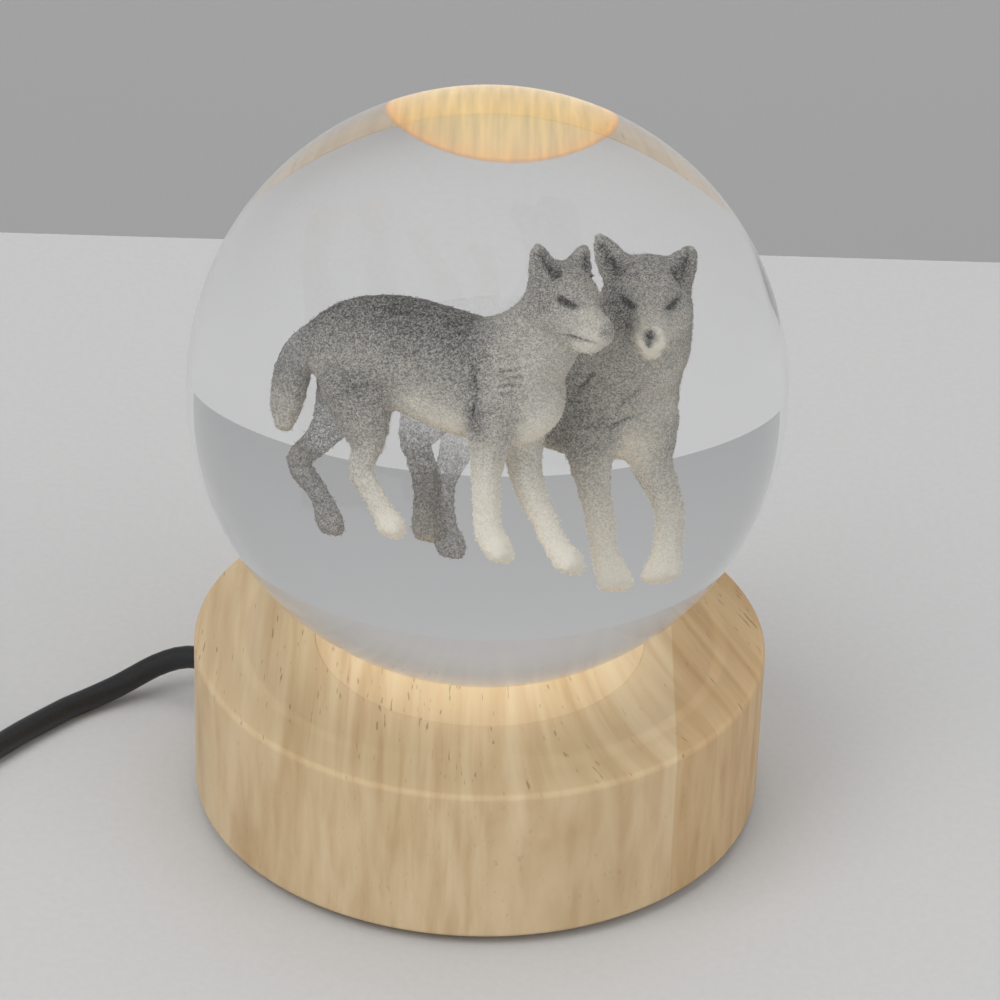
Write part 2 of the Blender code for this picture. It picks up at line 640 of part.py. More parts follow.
def make_base():
    """The turned wooden body: well and seat above, pocket and cover ledge below, and the holes in it."""
    inset = WOOD_RADIUS - WOOD_EDGE
    diffuser_bore = DIFFUSER_RADIUS + GAP
    profile = [
        (REBATE_RADIUS, RECESS_FLOOR),
        (RECESS_RADIUS, RECESS_FLOOR),
        (RECESS_RADIUS + RECESS_DEPTH, WOOD_TOP),
        *arc((inset, WOOD_TOP - WOOD_EDGE), WOOD_EDGE, math.pi / 2, 0, 3),
        *arc((inset, WOOD_BOTTOM + WOOD_EDGE), WOOD_EDGE, 0, -math.pi / 2, 3),
        (COVER_RECESS, WOOD_BOTTOM),
        (COVER_RECESS, COVER_LEDGE),
        (POCKET_RADIUS, COVER_LEDGE),
        (POCKET_RADIUS, POCKET_TOP),
        (diffuser_bore, POCKET_TOP),
        (diffuser_bore, LEDGE),
        (WELL_RADIUS, LEDGE),
        (WELL_RADIUS, REBATE_FLOOR),
        (REBATE_RADIUS, REBATE_FLOOR),
    ]
    base = turned("wooden_base", profile, WOOD, closed=True)
    for k, angle in enumerate(board_screw_angles(), 1):
        low = polar(BOARD_SCREW_CIRCLE, angle, POCKET_TOP - OVERRUN)
        top = polar(BOARD_SCREW_CIRCLE, angle, POCKET_TOP + BOARD_SCREW_LENGTH)
        cut(base, link(f"board_screw_bore_{k}", low, top, SCREW_HOLE, None, sides=8))
    for k, angle in enumerate(cover_screw_angles(), 1):
        low = polar(COVER_SCREW_CIRCLE, angle, COVER_LEDGE - OVERRUN)
        top = polar(COVER_SCREW_CIRCLE, angle, COVER_TOP + COVER_SCREW_LENGTH)
        cut(base, link(f"cover_screw_bore_{k}", low, top, SCREW_HOLE, None, sides=8))
    step = GROMMET_SEAT - GAP
    bores = (
        ("cord_bore", POCKET_RADIUS - OVERRUN, step + GAP, CORD_HOLE),
        ("grommet_bore", step, WOOD_RADIUS + OVERRUN, GROMMET_BODY + GAP),
    )
    for name, start, end, radius in bores:
        cut(base, link(name, cord_place(start), cord_place(end), radius, None, sides=16))


def board_screw_angles():
    return round_steps(BOARD_SCREW_COUNT, CORD_AZIMUTH + math.pi / BOARD_SCREW_COUNT)


def cover_screw_angles():
    return round_steps(COVER_SCREW_COUNT, math.pi / 2)


def cord_place(radius, aside=0.0, rise=0.0):
    """A place by the cord's entry: distance from the base's axis, then sideways, then up."""
    ahead = Vector(polar(1, CORD_AZIMUTH))
    across = Vector(polar(1, CORD_AZIMUTH + math.pi / 2))
    return ahead * radius + across * aside + Vector((0, 0, CORD_HEIGHT + rise))


def make_lighting():
    """Diffuser, round board, LEDs, resistors and the board's screws."""
    diffuser_middle = LEDGE - GAP - DIFFUSER_THICKNESS / 2
    rod("well_diffuser", DIFFUSER_RADIUS, DIFFUSER_THICKNESS, FROSTED, (0, 0, diffuser_middle), sides=40)
    board_middle = (BOARD_TOP + BOARD_BOTTOM) / 2
    board = rod("light_board", BOARD_RADIUS, BOARD_THICKNESS, BOARD, (0, 0, board_middle), sides=40)
    for k, angle in enumerate(board_screw_angles(), 1):
        below = polar(BOARD_SCREW_CIRCLE, angle, BOARD_BOTTOM - OVERRUN)
        above = polar(BOARD_SCREW_CIRCLE, angle, BOARD_TOP + OVERRUN)
        cut(board, link(f"board_hole_{k}", below, above, SCREW_HOLE, None, sides=12))
        screw(f"board_screw_{k}", polar(BOARD_SCREW_CIRCLE, angle, BOARD_BOTTOM - GAP), BOARD_SCREW_LENGTH)
    for k, angle in enumerate(round_steps(LED_COUNT), 1):
        led = box(f"led_{k}", (LED_LENGTH, LED_WIDTH, LED_HEIGHT), PHOSPHOR, edge=LED_HEIGHT / 8, segments=1)
        place(led, polar(LED_CIRCLE, angle, BOARD_TOP + GAP + LED_HEIGHT / 2), (0, 0, angle))
    for k, angle in enumerate(round_steps(2, CORD_AZIMUTH - math.pi / 2), 1):
        chip = box(f"resistor_{k}", (RESISTOR_LENGTH, RESISTOR_WIDTH, RESISTOR_HEIGHT), CHIP)
        place(chip, polar(RESISTOR_CIRCLE, angle, BOARD_BOTTOM - GAP - RESISTOR_HEIGHT / 2), (0, 0, angle))


def screw(name, seat, length, shank=SCREW_SHANK, head=SCREW_HEAD, head_height=SCREW_HEAD_HEIGHT):
    """A screw that points up, with the top of its head at seat and a cross in its head."""
    profile = [
        (0, length), (shank / 2, length), (shank, length - shank), (shank, 0),
        (head, 0), (head, -head_height / 2), (head * 3 / 4, -head_height), (0, -head_height),
    ]
    made = turned(name, profile, STEEL, sides=14)
    place(made, seat)
    for k in range(2):
        size = (head * CROSS_SPAN_SHARE, head * CROSS_WIDTH_SHARE, head_height * CROSS_DEPTH_SHARE)
        cross = box(f"{name}_cross_{k}", size, None)
        place(cross, Vector(seat) - Vector((0, 0, head_height)), (0, 0, k * math.pi / 2))
        cut(made, cross)
    return made


def make_bottom():
    """Bottom cover, its screws and the feet."""
    middle = (0, 0, COVER_BOTTOM + COVER_THICKNESS / 2)
    cover = rod("bottom_cover", COVER_RADIUS, COVER_THICKNESS, BLACK_PLASTIC, middle, sides=ROUND_SIDES)
    for k, angle in enumerate(cover_screw_angles(), 1):
        spot = COVER_BOTTOM + COVER_SCREW_SINK
        below = polar(COVER_SCREW_CIRCLE, angle, COVER_BOTTOM - OVERRUN)
        floor = polar(COVER_SCREW_CIRCLE, angle, spot)
        sink = link(f"cover_sink_{k}", below, floor, SCREW_HEAD + GAP, None, sides=14)
        above = polar(COVER_SCREW_CIRCLE, angle, COVER_TOP + OVERRUN)
        hole = link(f"cover_hole_{k}", below, above, SCREW_HOLE, None, sides=12)
        cut(cut(cover, sink), hole)
        length = COVER_TOP + COVER_SCREW_LENGTH - spot
        screw(f"cover_screw_{k}", polar(COVER_SCREW_CIRCLE, angle, spot - GAP), length)
    for k, angle in enumerate(round_steps(FOOT_COUNT, math.pi / 4), 1):
        round_edge = FOOT_HEIGHT / 4
        profile = [
            (0, FOOT_HEIGHT), (FOOT_RADIUS, FOOT_HEIGHT), (FOOT_RADIUS, round_edge),
            (FOOT_RADIUS - round_edge, 0), (0, 0),
        ]
        place(turned(f"foot_{k}", profile, BLACK_RUBBER, sides=24), polar(FOOT_CIRCLE, angle))


def make_cord_entry():
    """Grommet, the cord's tail inside the base, its tie and the two wires to the board."""
    out = Vector((0, 0, 1)).rotation_difference(Vector(polar(1, CORD_AZIMUTH))).to_euler()
    flange_back = WOOD_RADIUS + GAP
    profile = [
        (CORD_HOLE, GROMMET_FACE), (GROMMET_FLANGE, GROMMET_FACE), (GROMMET_FLANGE, flange_back),
        (GROMMET_BODY, flange_back), (GROMMET_BODY, GROMMET_SEAT), (CORD_HOLE, GROMMET_SEAT),
    ]
    place(turned("cord_grommet", profile, BLACK_RUBBER, sides=24, closed=True), (0, 0, CORD_HEIGHT), out)
    inner, outer = cord_place(TAIL_INNER_END), cord_place(GROMMET_FACE + GAP)
    link("cord_tail", inner, outer, CORD_RADIUS, CORD_SKIN, sides=12)
    tie_front = math.sqrt(POCKET_RADIUS**2 - CABLE_TIE_RADIUS**2) - GAP
    tie_back = tie_front - CABLE_TIE_WIDTH
    ring = [
        (CORD_HOLE, tie_front), (CABLE_TIE_RADIUS, tie_front), (CABLE_TIE_RADIUS, tie_back),
        (CORD_HOLE, tie_back),
    ]
    tie = place(turned("cable_tie", ring, NYLON, sides=20, closed=True), (0, 0, CORD_HEIGHT), out)
    rise = (CORD_HOLE + CABLE_TIE_RADIUS) / 2 + CABLE_TIE_HEAD / 2
    head_size = (CABLE_TIE_WIDTH + CABLE_TIE_HEAD_SPARE, CABLE_TIE_HEAD, CABLE_TIE_HEAD)
    head_place = cord_place((tie_front + tie_back) / 2 - CABLE_TIE_HEAD_SPARE, rise=rise)
    join(tie, place(box("cable_tie_head", head_size, None), head_place, (0, 0, CORD_AZIMUTH)))
    start = TAIL_INNER_END - GAP
    rise = BOARD_BOTTOM - GAP - CORD_HEIGHT
    for name, side, finish in (("red_wire", 1, RED_SKIN), ("black_wire", -1, CORD_SKIN)):
        route = [
            cord_place(start - inward * (WIRE_REACH - GAP), side * WIRE_SPACING / 2, up * rise)
            for inward, up in WIRE_BEND_SHARES
        ]
        tube(name, smooth_line(route, WIRE_RADIUS * 3), WIRE_RADIUS, finish, resolution=1)


def coil_point(turn):
    """The cord's middle after that many turns: spirals in below, climbs, and spirals out above."""
    angle = COIL_START - math.tau * turn
    radius = COIL_INNER_RADIUS + COIL_PITCH * abs(COIL_TURNS - turn)
    climb = min(1.0, max(0.0, (turn - COIL_TURNS) / CLIMB_SHARE + 0.5))
    height = COIL_LOWER + (COIL_UPPER - COIL_LOWER) * (1 - math.cos(math.pi * climb)) / 2
    x, y, _ = polar(radius, angle)
    return Vector((COIL_CENTRE[0] + x, COIL_CENTRE[1] + y, height))


def least_self_gap(line):
    """The least distance between the skins of stretches that aren't next to each other."""
    fine = [a.lerp(b, k / 4) for a, b in zip(line, line[1:]) for k in range(4)]
    apart = COIL_POINTS * 2
    least = min((a - b).length for i, a in enumerate(fine) for b in fine[i + apart:])
    return least - CORD_DIAMETER


def make_cords():
    """The cord's free stretches, the coil of its unseen length, and the coil's tie."""
    routes = (("cord_run", CORD_RUN_ROUTE), ("cord_link", CORD_LINK_ROUTE), ("cord_end", CORD_TAIL_ROUTE))
    for name, route in routes:
        bends = smooth_line(route[1:-1], CORD_STEP_SHARE * CORD_DIAMETER)
        tube(name, [route[0], *bends, route[-1]], CORD_RADIUS, CORD_SKIN)
    turns = [i / COIL_POINTS for i in range(2 * COIL_TURNS * COIL_POINTS + 1)]
    line = [coil_point(turn) for turn in turns]
    straight = Vector((0, CORD_DIAMETER, 0))
    line = [line[0] - straight] + line + [line[-1] + straight]
    tube("cord_coil", line, CORD_RADIUS, CORD_SKIN, resolution=1)
    print("cord_coil least gap to itself in mm:", round(least_self_gap(line) * 1000, 2))
    inner = COIL_INNER_RADIUS - CORD_RADIUS - TIE_SLACK
    outer = COIL_OUTER_RADIUS + CORD_RADIUS + TIE_SLACK
    top = COIL_UPPER + CORD_RADIUS + GAP
    wall = TIE_THICKNESS * 2
    strap = box("coil_tie", (outer - inner + wall, TIE_WIDTH, top - TIE_THICKNESS + wall), BLACK_PLASTIC)
    room = box("coil_tie_room", (outer - inner, TIE_WIDTH + wall, top - TIE_THICKNESS), None)
    x, y, _ = polar((inner + outer) / 2, TIE_AZIMUTH)
    spot = (COIL_CENTRE[0] + x, COIL_CENTRE[1] + y, (top + TIE_THICKNESS) / 2)
    for piece in (strap, room):
        place(piece, spot, (0, 0, TIE_AZIMUTH))
    cut(strap, room)


def make_switch():
    """The switch on the cord: two shells, the button with its leaf spring, contact strips and screws."""
    frame = empty("switch_frame", (*SWITCH_CENTRE, 0))
    size = (SWITCH_LENGTH, SWITCH_WIDTH, SWITCH_HEIGHT)
    room = place(box("switch_room", SWITCH_ROOM, None), (0, 0, SWITCH_SPLIT), parent=frame)
    reach = SWITCH_LENGTH / 2 + OVERRUN
    start, end = (-reach, 0, SWITCH_SPLIT), (reach, 0, SWITCH_SPLIT)
    bore = link("switch_cord_bore", start, end, CORD_HOLE, None, frame, sides=16)
    shells = {}
    for name, side in (("switch_lower_shell", 1), ("switch_upper_shell", -1)):
        shell = box(name, size, BLACK_PLASTIC, edge=SWITCH_EDGE, segments=3)
        shells[name] = place(shell, (0, 0, SWITCH_SPLIT), parent=frame)
        half = box(name + "_trim", [length + OVERRUN for length in size], None)
        place(half, (0, 0, SWITCH_SPLIT + side * (SWITCH_HEIGHT + OVERRUN - GAP) / 2), parent=frame)
        for cutter in (half, room, bore):
            cut(shell, cutter)
    lower, upper = shells["switch_lower_shell"], shells["switch_upper_shell"]
    hole = (BUTTON_LENGTH + 2 * GAP, BUTTON_WIDTH + 2 * GAP, 2 * SWITCH_WALL + OVERRUN)
    cut(upper, place(box("button_hole", hole, None), (0, 0, SWITCH_HEIGHT), parent=frame))
    along, across = SWITCH_SCREW_PLACE
    for k, side in enumerate((1, -1), 1):
        spot = Vector((side * along, side * across, SWITCH_SCREW_SINK))
        below = spot - Vector((0, 0, SWITCH_SCREW_SINK + OVERRUN))
        above = spot + Vector((0, 0, SWITCH_SCREW_LENGTH))
        sink = link(f"switch_sink_{k}", below, spot, SWITCH_SCREW_HEAD + GAP, None, frame, sides=14)
        drill = link(f"switch_drill_{k}", below, above, SWITCH_SCREW_SHANK + GAP, None, frame, sides=12)
        cut(cut(lower, sink), drill)
        cut(upper, drill)
        seat = spot - Vector((0, 0, GAP))
        fixing = screw(
            f"switch_screw_{k}", seat, SWITCH_SCREW_LENGTH - GAP, SWITCH_SCREW_SHANK, SWITCH_SCREW_HEAD,
            SWITCH_SCREW_HEAD_HEIGHT,
        )
        fixing.parent = frame
        for cross in CUTTERS.objects:
            if cross.name.startswith(fixing.name + "_cross"):
                cross.parent = frame
        pad_top = STRIP_BOTTOM - GAP
        pad = box(f"strip_pad_{k}", (STRIP_LENGTH, STRIP_WIDTH, pad_top - SWITCH_WALL / 2), None)
        place(pad, (side * STRIP_PLACE, 0, (pad_top + SWITCH_WALL / 2) / 2), parent=frame)
        join(lower, pad)
        strip = box(f"contact_strip_{k}", (STRIP_LENGTH, STRIP_WIDTH, STRIP_THICKNESS), BRASS)
        place(strip, (side * STRIP_PLACE, 0, STRIP_BOTTOM + STRIP_THICKNESS / 2), parent=frame)
    make_button(frame)


def make_button(frame):
    """The button, with a flange that keeps it in, and the leaf spring that rides under it."""
    slide = empty("button_axis", (0, 0, FLANGE_BOTTOM), parent=frame)
    top = SWITCH_HEIGHT + BUTTON_RISE - FLANGE_BOTTOM
    size = (BUTTON_LENGTH, BUTTON_WIDTH, top)
    button = box("switch_button", size, BLACK_PLASTIC, BUTTON_RISE / 3, (0, 0, top / 2))
    place(button, parent=slide)
    rim = (BUTTON_LENGTH + 2 * BUTTON_FLANGE, BUTTON_WIDTH + 2 * BUTTON_FLANGE, BUTTON_FLANGE_THICKNESS)
    flange = box("button_flange", rim, None, 0, (0, 0, BUTTON_FLANGE_THICKNESS / 2))
    join(button, place(flange, parent=slide))
    shape = bmesh.new()
    bmesh.ops.create_grid(shape, x_segments=8, y_segments=1, size=0.5)
    for v in shape.verts:
        drop = LEAF_RISE * (2 * v.co.x) ** 2
        v.co = (v.co.x * LEAF_LENGTH, v.co.y * LEAF_WIDTH, -drop - GAP)
    leaf = place(from_bmesh("leaf_spring", shape, STEEL), parent=slide)
    wall = leaf.modifiers.new("thickness", "SOLIDIFY")
    wall.thickness = LEAF_THICKNESS
    wall.offset = -1


def make_plug():
    """The plug that lies on the coil: moulded grip, metal shell, tongue and contacts."""
    ahead = Vector(polar(1, PLUG_HEADING))
    frame = empty("plug_frame", Vector(CORD_TAIL_ROUTE[-1]) + ahead * GAP, (0, 0, PLUG_HEADING))
    back = RELIEF_LENGTH
    front = RELIEF_LENGTH + GRIP_LENGTH
    grip_size = (GRIP_LENGTH, GRIP_WIDTH, GRIP_HEIGHT)
    grip = box("plug_grip", grip_size, BLACK_PLASTIC, GRIP_EDGE, ((back + front) / 2, 0, 0), segments=3)
    place(grip, parent=frame)
    sunk = RELIEF_LENGTH / 3
    relief = rod(
        "plug_relief", RELIEF_SLIM, RELIEF_LENGTH + sunk, None, ((RELIEF_LENGTH + sunk) / 2, 0, 0),
        (0, math.pi / 2, 0), 16, RELIEF_WIDE,
    )
    join(grip, place(relief, parent=frame))
    seat = front - SHELL_SEATED
    pocket = (SHELL_SEATED + GAP + OVERRUN, SHELL_WIDTH + 2 * GAP, SHELL_HEIGHT + 2 * GAP)
    pocket_middle = seat - GAP + pocket[0] / 2
    cut(grip, place(box("plug_pocket", pocket, None, 0, (pocket_middle, 0, 0)), parent=frame))
    shell_middle = (seat + SHELL_LENGTH / 2, 0, 0)
    shell = box("plug_shell", (SHELL_LENGTH, SHELL_WIDTH, SHELL_HEIGHT), STEEL, 0, shell_middle)
    place(shell, parent=frame)
    inner_width = SHELL_WIDTH - 2 * SHELL_WALL
    inner_height = SHELL_HEIGHT - 2 * SHELL_WALL
    mouth = box("plug_mouth", (SHELL_LENGTH + OVERRUN, inner_width, inner_height), None, 0, shell_middle)
    cut(shell, place(mouth, parent=frame))
    block = (TONGUE_BLOCK, inner_width - 2 * GAP, inner_height - 2 * GAP)
    tongue = box("plug_tongue", block, NYLON, 0, (seat + TONGUE_BLOCK / 2, 0, 0))
    place(tongue, parent=frame)
    tongue_top = TONGUE_THICKNESS - block[2] / 2
    blade = (TONGUE_LENGTH, block[1], TONGUE_THICKNESS)
    blade_middle = (seat + TONGUE_BLOCK / 2 + TONGUE_LENGTH / 2, 0, tongue_top - TONGUE_THICKNESS / 2)
    join(tongue, place(box("plug_blade", blade, None, 0, blade_middle), parent=frame))
    tip = seat + TONGUE_BLOCK / 2 + TONGUE_LENGTH
    for k in range(CONTACT_COUNT):
        across = CONTACT_SPACING * (k - (CONTACT_COUNT - 1) / 2)
        middle = (tip - CONTACT_LENGTH / 2 - GAP, across, tongue_top + GAP + CONTACT_THICKNESS / 2)
        size = (CONTACT_LENGTH, CONTACT_WIDTH, CONTACT_THICKNESS)
        place(box(f"plug_contact_{k + 1}", size, BRASS, 0, middle), parent=frame)


def main():
    make_ball()
    make_seat_ring()
    make_base()
    make_lighting()
    make_bottom()
    make_cord_entry()
    make_cords()
    make_switch()
    make_plug()


main()
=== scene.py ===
"""Dresses the glass ball lamp: the clear ball and its engraved wolves, the turned wooden base, and the cord.

Metres, +Z up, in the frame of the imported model. The front faces -Y.
"""

import json
import math

import bmesh
import bpy
import numpy as np
from bpy.props import FloatProperty, FloatVectorProperty, IntProperty, PointerProperty
from mathutils import Matrix, Vector, noise

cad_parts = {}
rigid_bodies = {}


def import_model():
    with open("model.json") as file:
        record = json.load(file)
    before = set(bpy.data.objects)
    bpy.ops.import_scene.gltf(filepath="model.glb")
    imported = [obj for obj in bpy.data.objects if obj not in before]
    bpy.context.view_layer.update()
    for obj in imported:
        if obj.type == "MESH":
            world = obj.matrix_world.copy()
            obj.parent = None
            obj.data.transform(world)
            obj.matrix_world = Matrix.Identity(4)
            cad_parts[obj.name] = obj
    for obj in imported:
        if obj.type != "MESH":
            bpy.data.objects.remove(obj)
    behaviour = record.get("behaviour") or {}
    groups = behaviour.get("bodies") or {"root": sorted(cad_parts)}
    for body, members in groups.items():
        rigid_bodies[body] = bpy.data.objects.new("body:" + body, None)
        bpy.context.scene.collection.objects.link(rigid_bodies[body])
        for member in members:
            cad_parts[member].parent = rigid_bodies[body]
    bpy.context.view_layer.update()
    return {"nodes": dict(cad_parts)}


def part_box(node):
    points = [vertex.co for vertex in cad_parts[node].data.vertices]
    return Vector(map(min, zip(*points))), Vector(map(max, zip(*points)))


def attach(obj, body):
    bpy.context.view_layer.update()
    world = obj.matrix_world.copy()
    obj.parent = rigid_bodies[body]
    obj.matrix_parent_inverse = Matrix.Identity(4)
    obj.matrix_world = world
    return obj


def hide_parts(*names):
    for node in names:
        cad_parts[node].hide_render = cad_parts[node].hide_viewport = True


bl_info = {
    "name": "Glass Ball Lamp",
    "version": (1, 0, 0),
    "blender": (4, 5, 0),
    "location": "3D View > Sidebar > Lamp",
    "description": "Ball with engraved wolves on a lit wooden base",
    "category": "Object",
}

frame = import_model()


def box_about(node):
    """The low corner, the high corner and the middle of a solid's box."""
    low, high = (Vector(v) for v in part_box(node))
    return low, high, (low + high) / 2


BALL_LOW, BALL_HIGH, BALL_CENTRE = box_about("glass_ball")
BALL_RADIUS = (BALL_HIGH - BALL_LOW).x / 2
WOOD_LOW, WOOD_HIGH, _ = box_about("wooden_base")
WOOD_RADIUS = (WOOD_HIGH.x - WOOD_LOW.x) / 2
QUARTER = math.pi / 2
SHARP = math.radians(35)
GAP = 0.0003  # between parts that don't touch


# Settings that a user would change

def colour(name, text, value):
    return FloatVectorProperty(
        name=name, description=text, subtype="COLOR", size=3, min=0, max=1, default=value,
    )


def length(name, text, value):
    return FloatProperty(
        name=name, description=text, subtype="DISTANCE", unit="LENGTH", default=value, precision=5,
    )


def number(name, text, value, low=0.0):
    return FloatProperty(name=name, description=text, default=value, min=low)


class StageSettings(bpy.types.PropertyGroup):
    floor_colour: colour("Floor", "Colour of the table", (0.60, 0.595, 0.59))
    backdrop_colour: colour("Backdrop", "Colour of the wall behind the table", (0.56, 0.555, 0.55))
    table_back: length("Table back edge", "From the lamp's axis to the table's far edge", 0.164)
    camera_distance: length("Camera distance", "From the camera to the ball's middle", 0.53258)
    lens: number("Lens", "Focal length on a 36 mm sensor", 144.0, 10.0)


class GlassSettings(bpy.types.PropertyGroup):
    glass_colour: colour("Glass", "Tint of the ball", (0.985, 0.992, 1.0))
    bend: number("Index", "Refractive index of the ball", 1.6, 1.0)
    sides: IntProperty(name="Sides", description="Faces round its middle", default=192, min=32, max=400)
    # The image settings place and colour a painted glow and tint: an oval patch at the top of the ball that
    # stands in for the lit wood seen through the glass.
    image_width: length("Image half width", "Reach of the lit wood's image to each side", 0.0153)
    image_depth: length("Image half depth", "Reach of the image to the front and to the back", 0.0201)
    image_lean: number("Image lean", "Lean of the image to the back", 0.246, -1.5)
    image_side: number("Image side", "Lean of the image to the right", 0.025, -1.5)
    image_colour: colour("Image light", "Light of the lit wood's image", (0.46, 0.32, 0.11))
    image_tint: colour("Image tint", "Tint of the glass in the image", (0.42, 0.33, 0.21))


class WoodSettings(bpy.types.PropertyGroup):
    light: colour("Light wood", "Palest colour of the wood", (0.76, 0.60, 0.38))
    pale: colour("Pale wood", "Colour between the growth lines", (0.70, 0.53, 0.32))
    line: colour("Growth line", "Colour of the growth lines", (0.60, 0.42, 0.235))
    pore: colour("Pore", "Colour of the short dark pores", (0.24, 0.14, 0.075))
    seam: length("Seam", "Where the two boards meet, to the right of the axis", 0.0265)
    # The spill paints a pool of the lamp's light on the wood's top.
    spill: length("Spill", "How far from the axis the lamp's light reaches on the wood", 0.034)
    spill_strength: number("Spill strength", "Brightness of that light", 0.75)
    edge: length("Edge round", "Rounding of the base's rims", 0.0008)
    recess: length("Recess", "Radius of the shallow step round the ball's foot", 0.0225)


class MarksSettings(bpy.types.PropertyGroup):
    dark: colour("Dark", "Colour of the darkest marks", (0.055, 0.053, 0.050))
    shade: colour("Shade", "Colour of the shaded coat", (0.21, 0.204, 0.192))
    coat: colour("Coat", "Colour of the flanks", (0.46, 0.44, 0.395))
    pale: colour("Pale", "Colour of the legs", (0.74, 0.70, 0.61))
    bright: colour("Bright", "Colour of the paws", (0.96, 0.91, 0.79))
    # The marks' glow is painted light: they give off light in their own shades.
    glow: number("Glow", "Light that the marks pass on", 0.12)
    dot: length("Dot", "Diameter of an engraved dot", 0.00012)
    density: number("Density", "Dots on a square millimetre", 15.0, 0.1)
    scatter: length("Scatter", "How far dots stray from the figure", 0.00012)


class LightSettings(bpy.types.PropertyGroup):
    window: colour("Window", "Colour of the frosted window", (0.93, 0.90, 0.82))
    warm: colour("Light", "Colour of the lamp's own light", (1.0, 0.74, 0.40))
    strength: number("Strength", "Strength of the lamp's own light", 2.2)
    ring: colour("Seat ring", "Colour of the soft ring", (0.86, 0.86, 0.84))
    edge: length("Edge round", "Rounding of the window's rim", 0.0002)


class CordSettings(bpy.types.PropertyGroup):
    sheath: colour("Sheath", "Colour of the cord", (0.012, 0.012, 0.013))
    plastic: colour("Plastic", "Colour of the switch and the plug", (0.018, 0.018, 0.019))
    rubber: colour("Rubber", "Colour of the grommet", (0.02, 0.02, 0.021))
    diameter: length("Diameter", "Diameter of the cord", 0.0033)


# Node trees

def add(tree, kind, *sockets, **values):
    """A node. Unnamed values go to its first sockets, and named ones to its properties or sockets."""
    node = tree.nodes.new(kind)
    for key, value in values.items():
        if hasattr(node, key):
            setattr(node, key, value)
        else:
            feed(node.inputs[key.replace("_", " ")], value)
    for socket, value in zip(node.inputs, sockets):
        feed(socket, value)
    return node


def feed(socket, value):
    """Links another node's output to a socket, or sets the socket's own value."""
    if isinstance(value, bpy.types.NodeSocket):
        socket.id_data.links.new(value, socket)
    elif socket.type == "RGBA":
        socket.default_value = (*value, 1.0)
    else:
        socket.default_value = value


def fed(inputs, **values):
    for key, value in values.items():
        feed(inputs[key.replace("_", " ")], value)


def maths(tree, operation, *values, clamp=False):
    return add(tree, "ShaderNodeMath", *values, operation=operation, use_clamp=clamp).outputs["Value"]


def rescaled(tree, value, low, high, to_low=0.0, to_high=1.0, kind="LINEAR"):
    """A value taken from one range to another, and kept in it."""
    made = add(
        tree, "ShaderNodeMapRange", value, low, high, to_low, to_high, interpolation_type=kind,
    )
    return made.outputs["Result"]


def blended(tree, share, first, second, kind="MIX"):
    """Two colours mixed by a share."""
    node = add(tree, "ShaderNodeMix", data_type="RGBA", blend_type=kind, Factor=share, A=first, B=second)
    return node.outputs["Result"]


def parted(tree, vector):
    """The X, Y and Z of a vector, and its distance from the Z axis."""
    parts = add(tree, "ShaderNodeSeparateXYZ", vector).outputs
    flat = add(tree, "ShaderNodeCombineXYZ", parts["X"], parts["Y"])
    away = add(tree, "ShaderNodeVectorMath", flat.outputs["Vector"], operation="LENGTH")
    return parts["X"], parts["Y"], parts["Z"], away.outputs["Value"]


def place_by_object(tree, scale=(1, 1, 1)):
    """Object coordinates, stretched."""
    source = add(tree, "ShaderNodeTexCoord")
    return add(tree, "ShaderNodeMapping", source.outputs["Object"], Scale=scale).outputs["Vector"]


def grained(tree, place, **values):
    return add(tree, "ShaderNodeTexNoise", place, **values).outputs["Fac"]


def ramp(tree, source, *stops):
    """A colour ramp over (place, colour) stops."""
    node = add(tree, "ShaderNodeValToRGB", source)
    marks = node.color_ramp.elements
    while len(marks) < len(stops):
        marks.new(0.5)
    for mark, (spot, shade) in zip(marks, stops):
        mark.position = spot
        mark.color = (*shade, 1.0)
    return node.outputs["Color"]


def bumped(tree, height, strength, distance):
    return add(tree, "ShaderNodeBump", Strength=strength, Distance=distance, Height=height).outputs["Normal"]


def material(name):
    """A new material with its node tree and its Principled shader's inputs."""
    made = bpy.data.materials.new(name)
    made.use_nodes = True
    return made, made.node_tree, made.node_tree.nodes["Principled BSDF"].inputs


def joined(tree, share, first, second):
    """Ends a material in a mix of two shaders."""
    mix = add(tree, "ShaderNodeMixShader", share, first, second)
    feed(tree.nodes["Material Output"].inputs["Surface"], mix.outputs["Shader"])


def group(name, kind, inputs, outputs):
    """A node group, its inputs and its outputs, from (name, kind, default) and (name, kind) rows."""
    tree = bpy.data.node_groups.new(name, kind)
    for in_out, rows in (("INPUT", inputs), ("OUTPUT", outputs)):
        for label, socket_kind, *default in rows:
            socket = tree.interface.new_socket(label, in_out=in_out, socket_type="NodeSocket" + socket_kind)
            if default:
                socket.default_value = default[0]
    return tree, add(tree, "NodeGroupInput").outputs, add(tree, "NodeGroupOutput").inputs


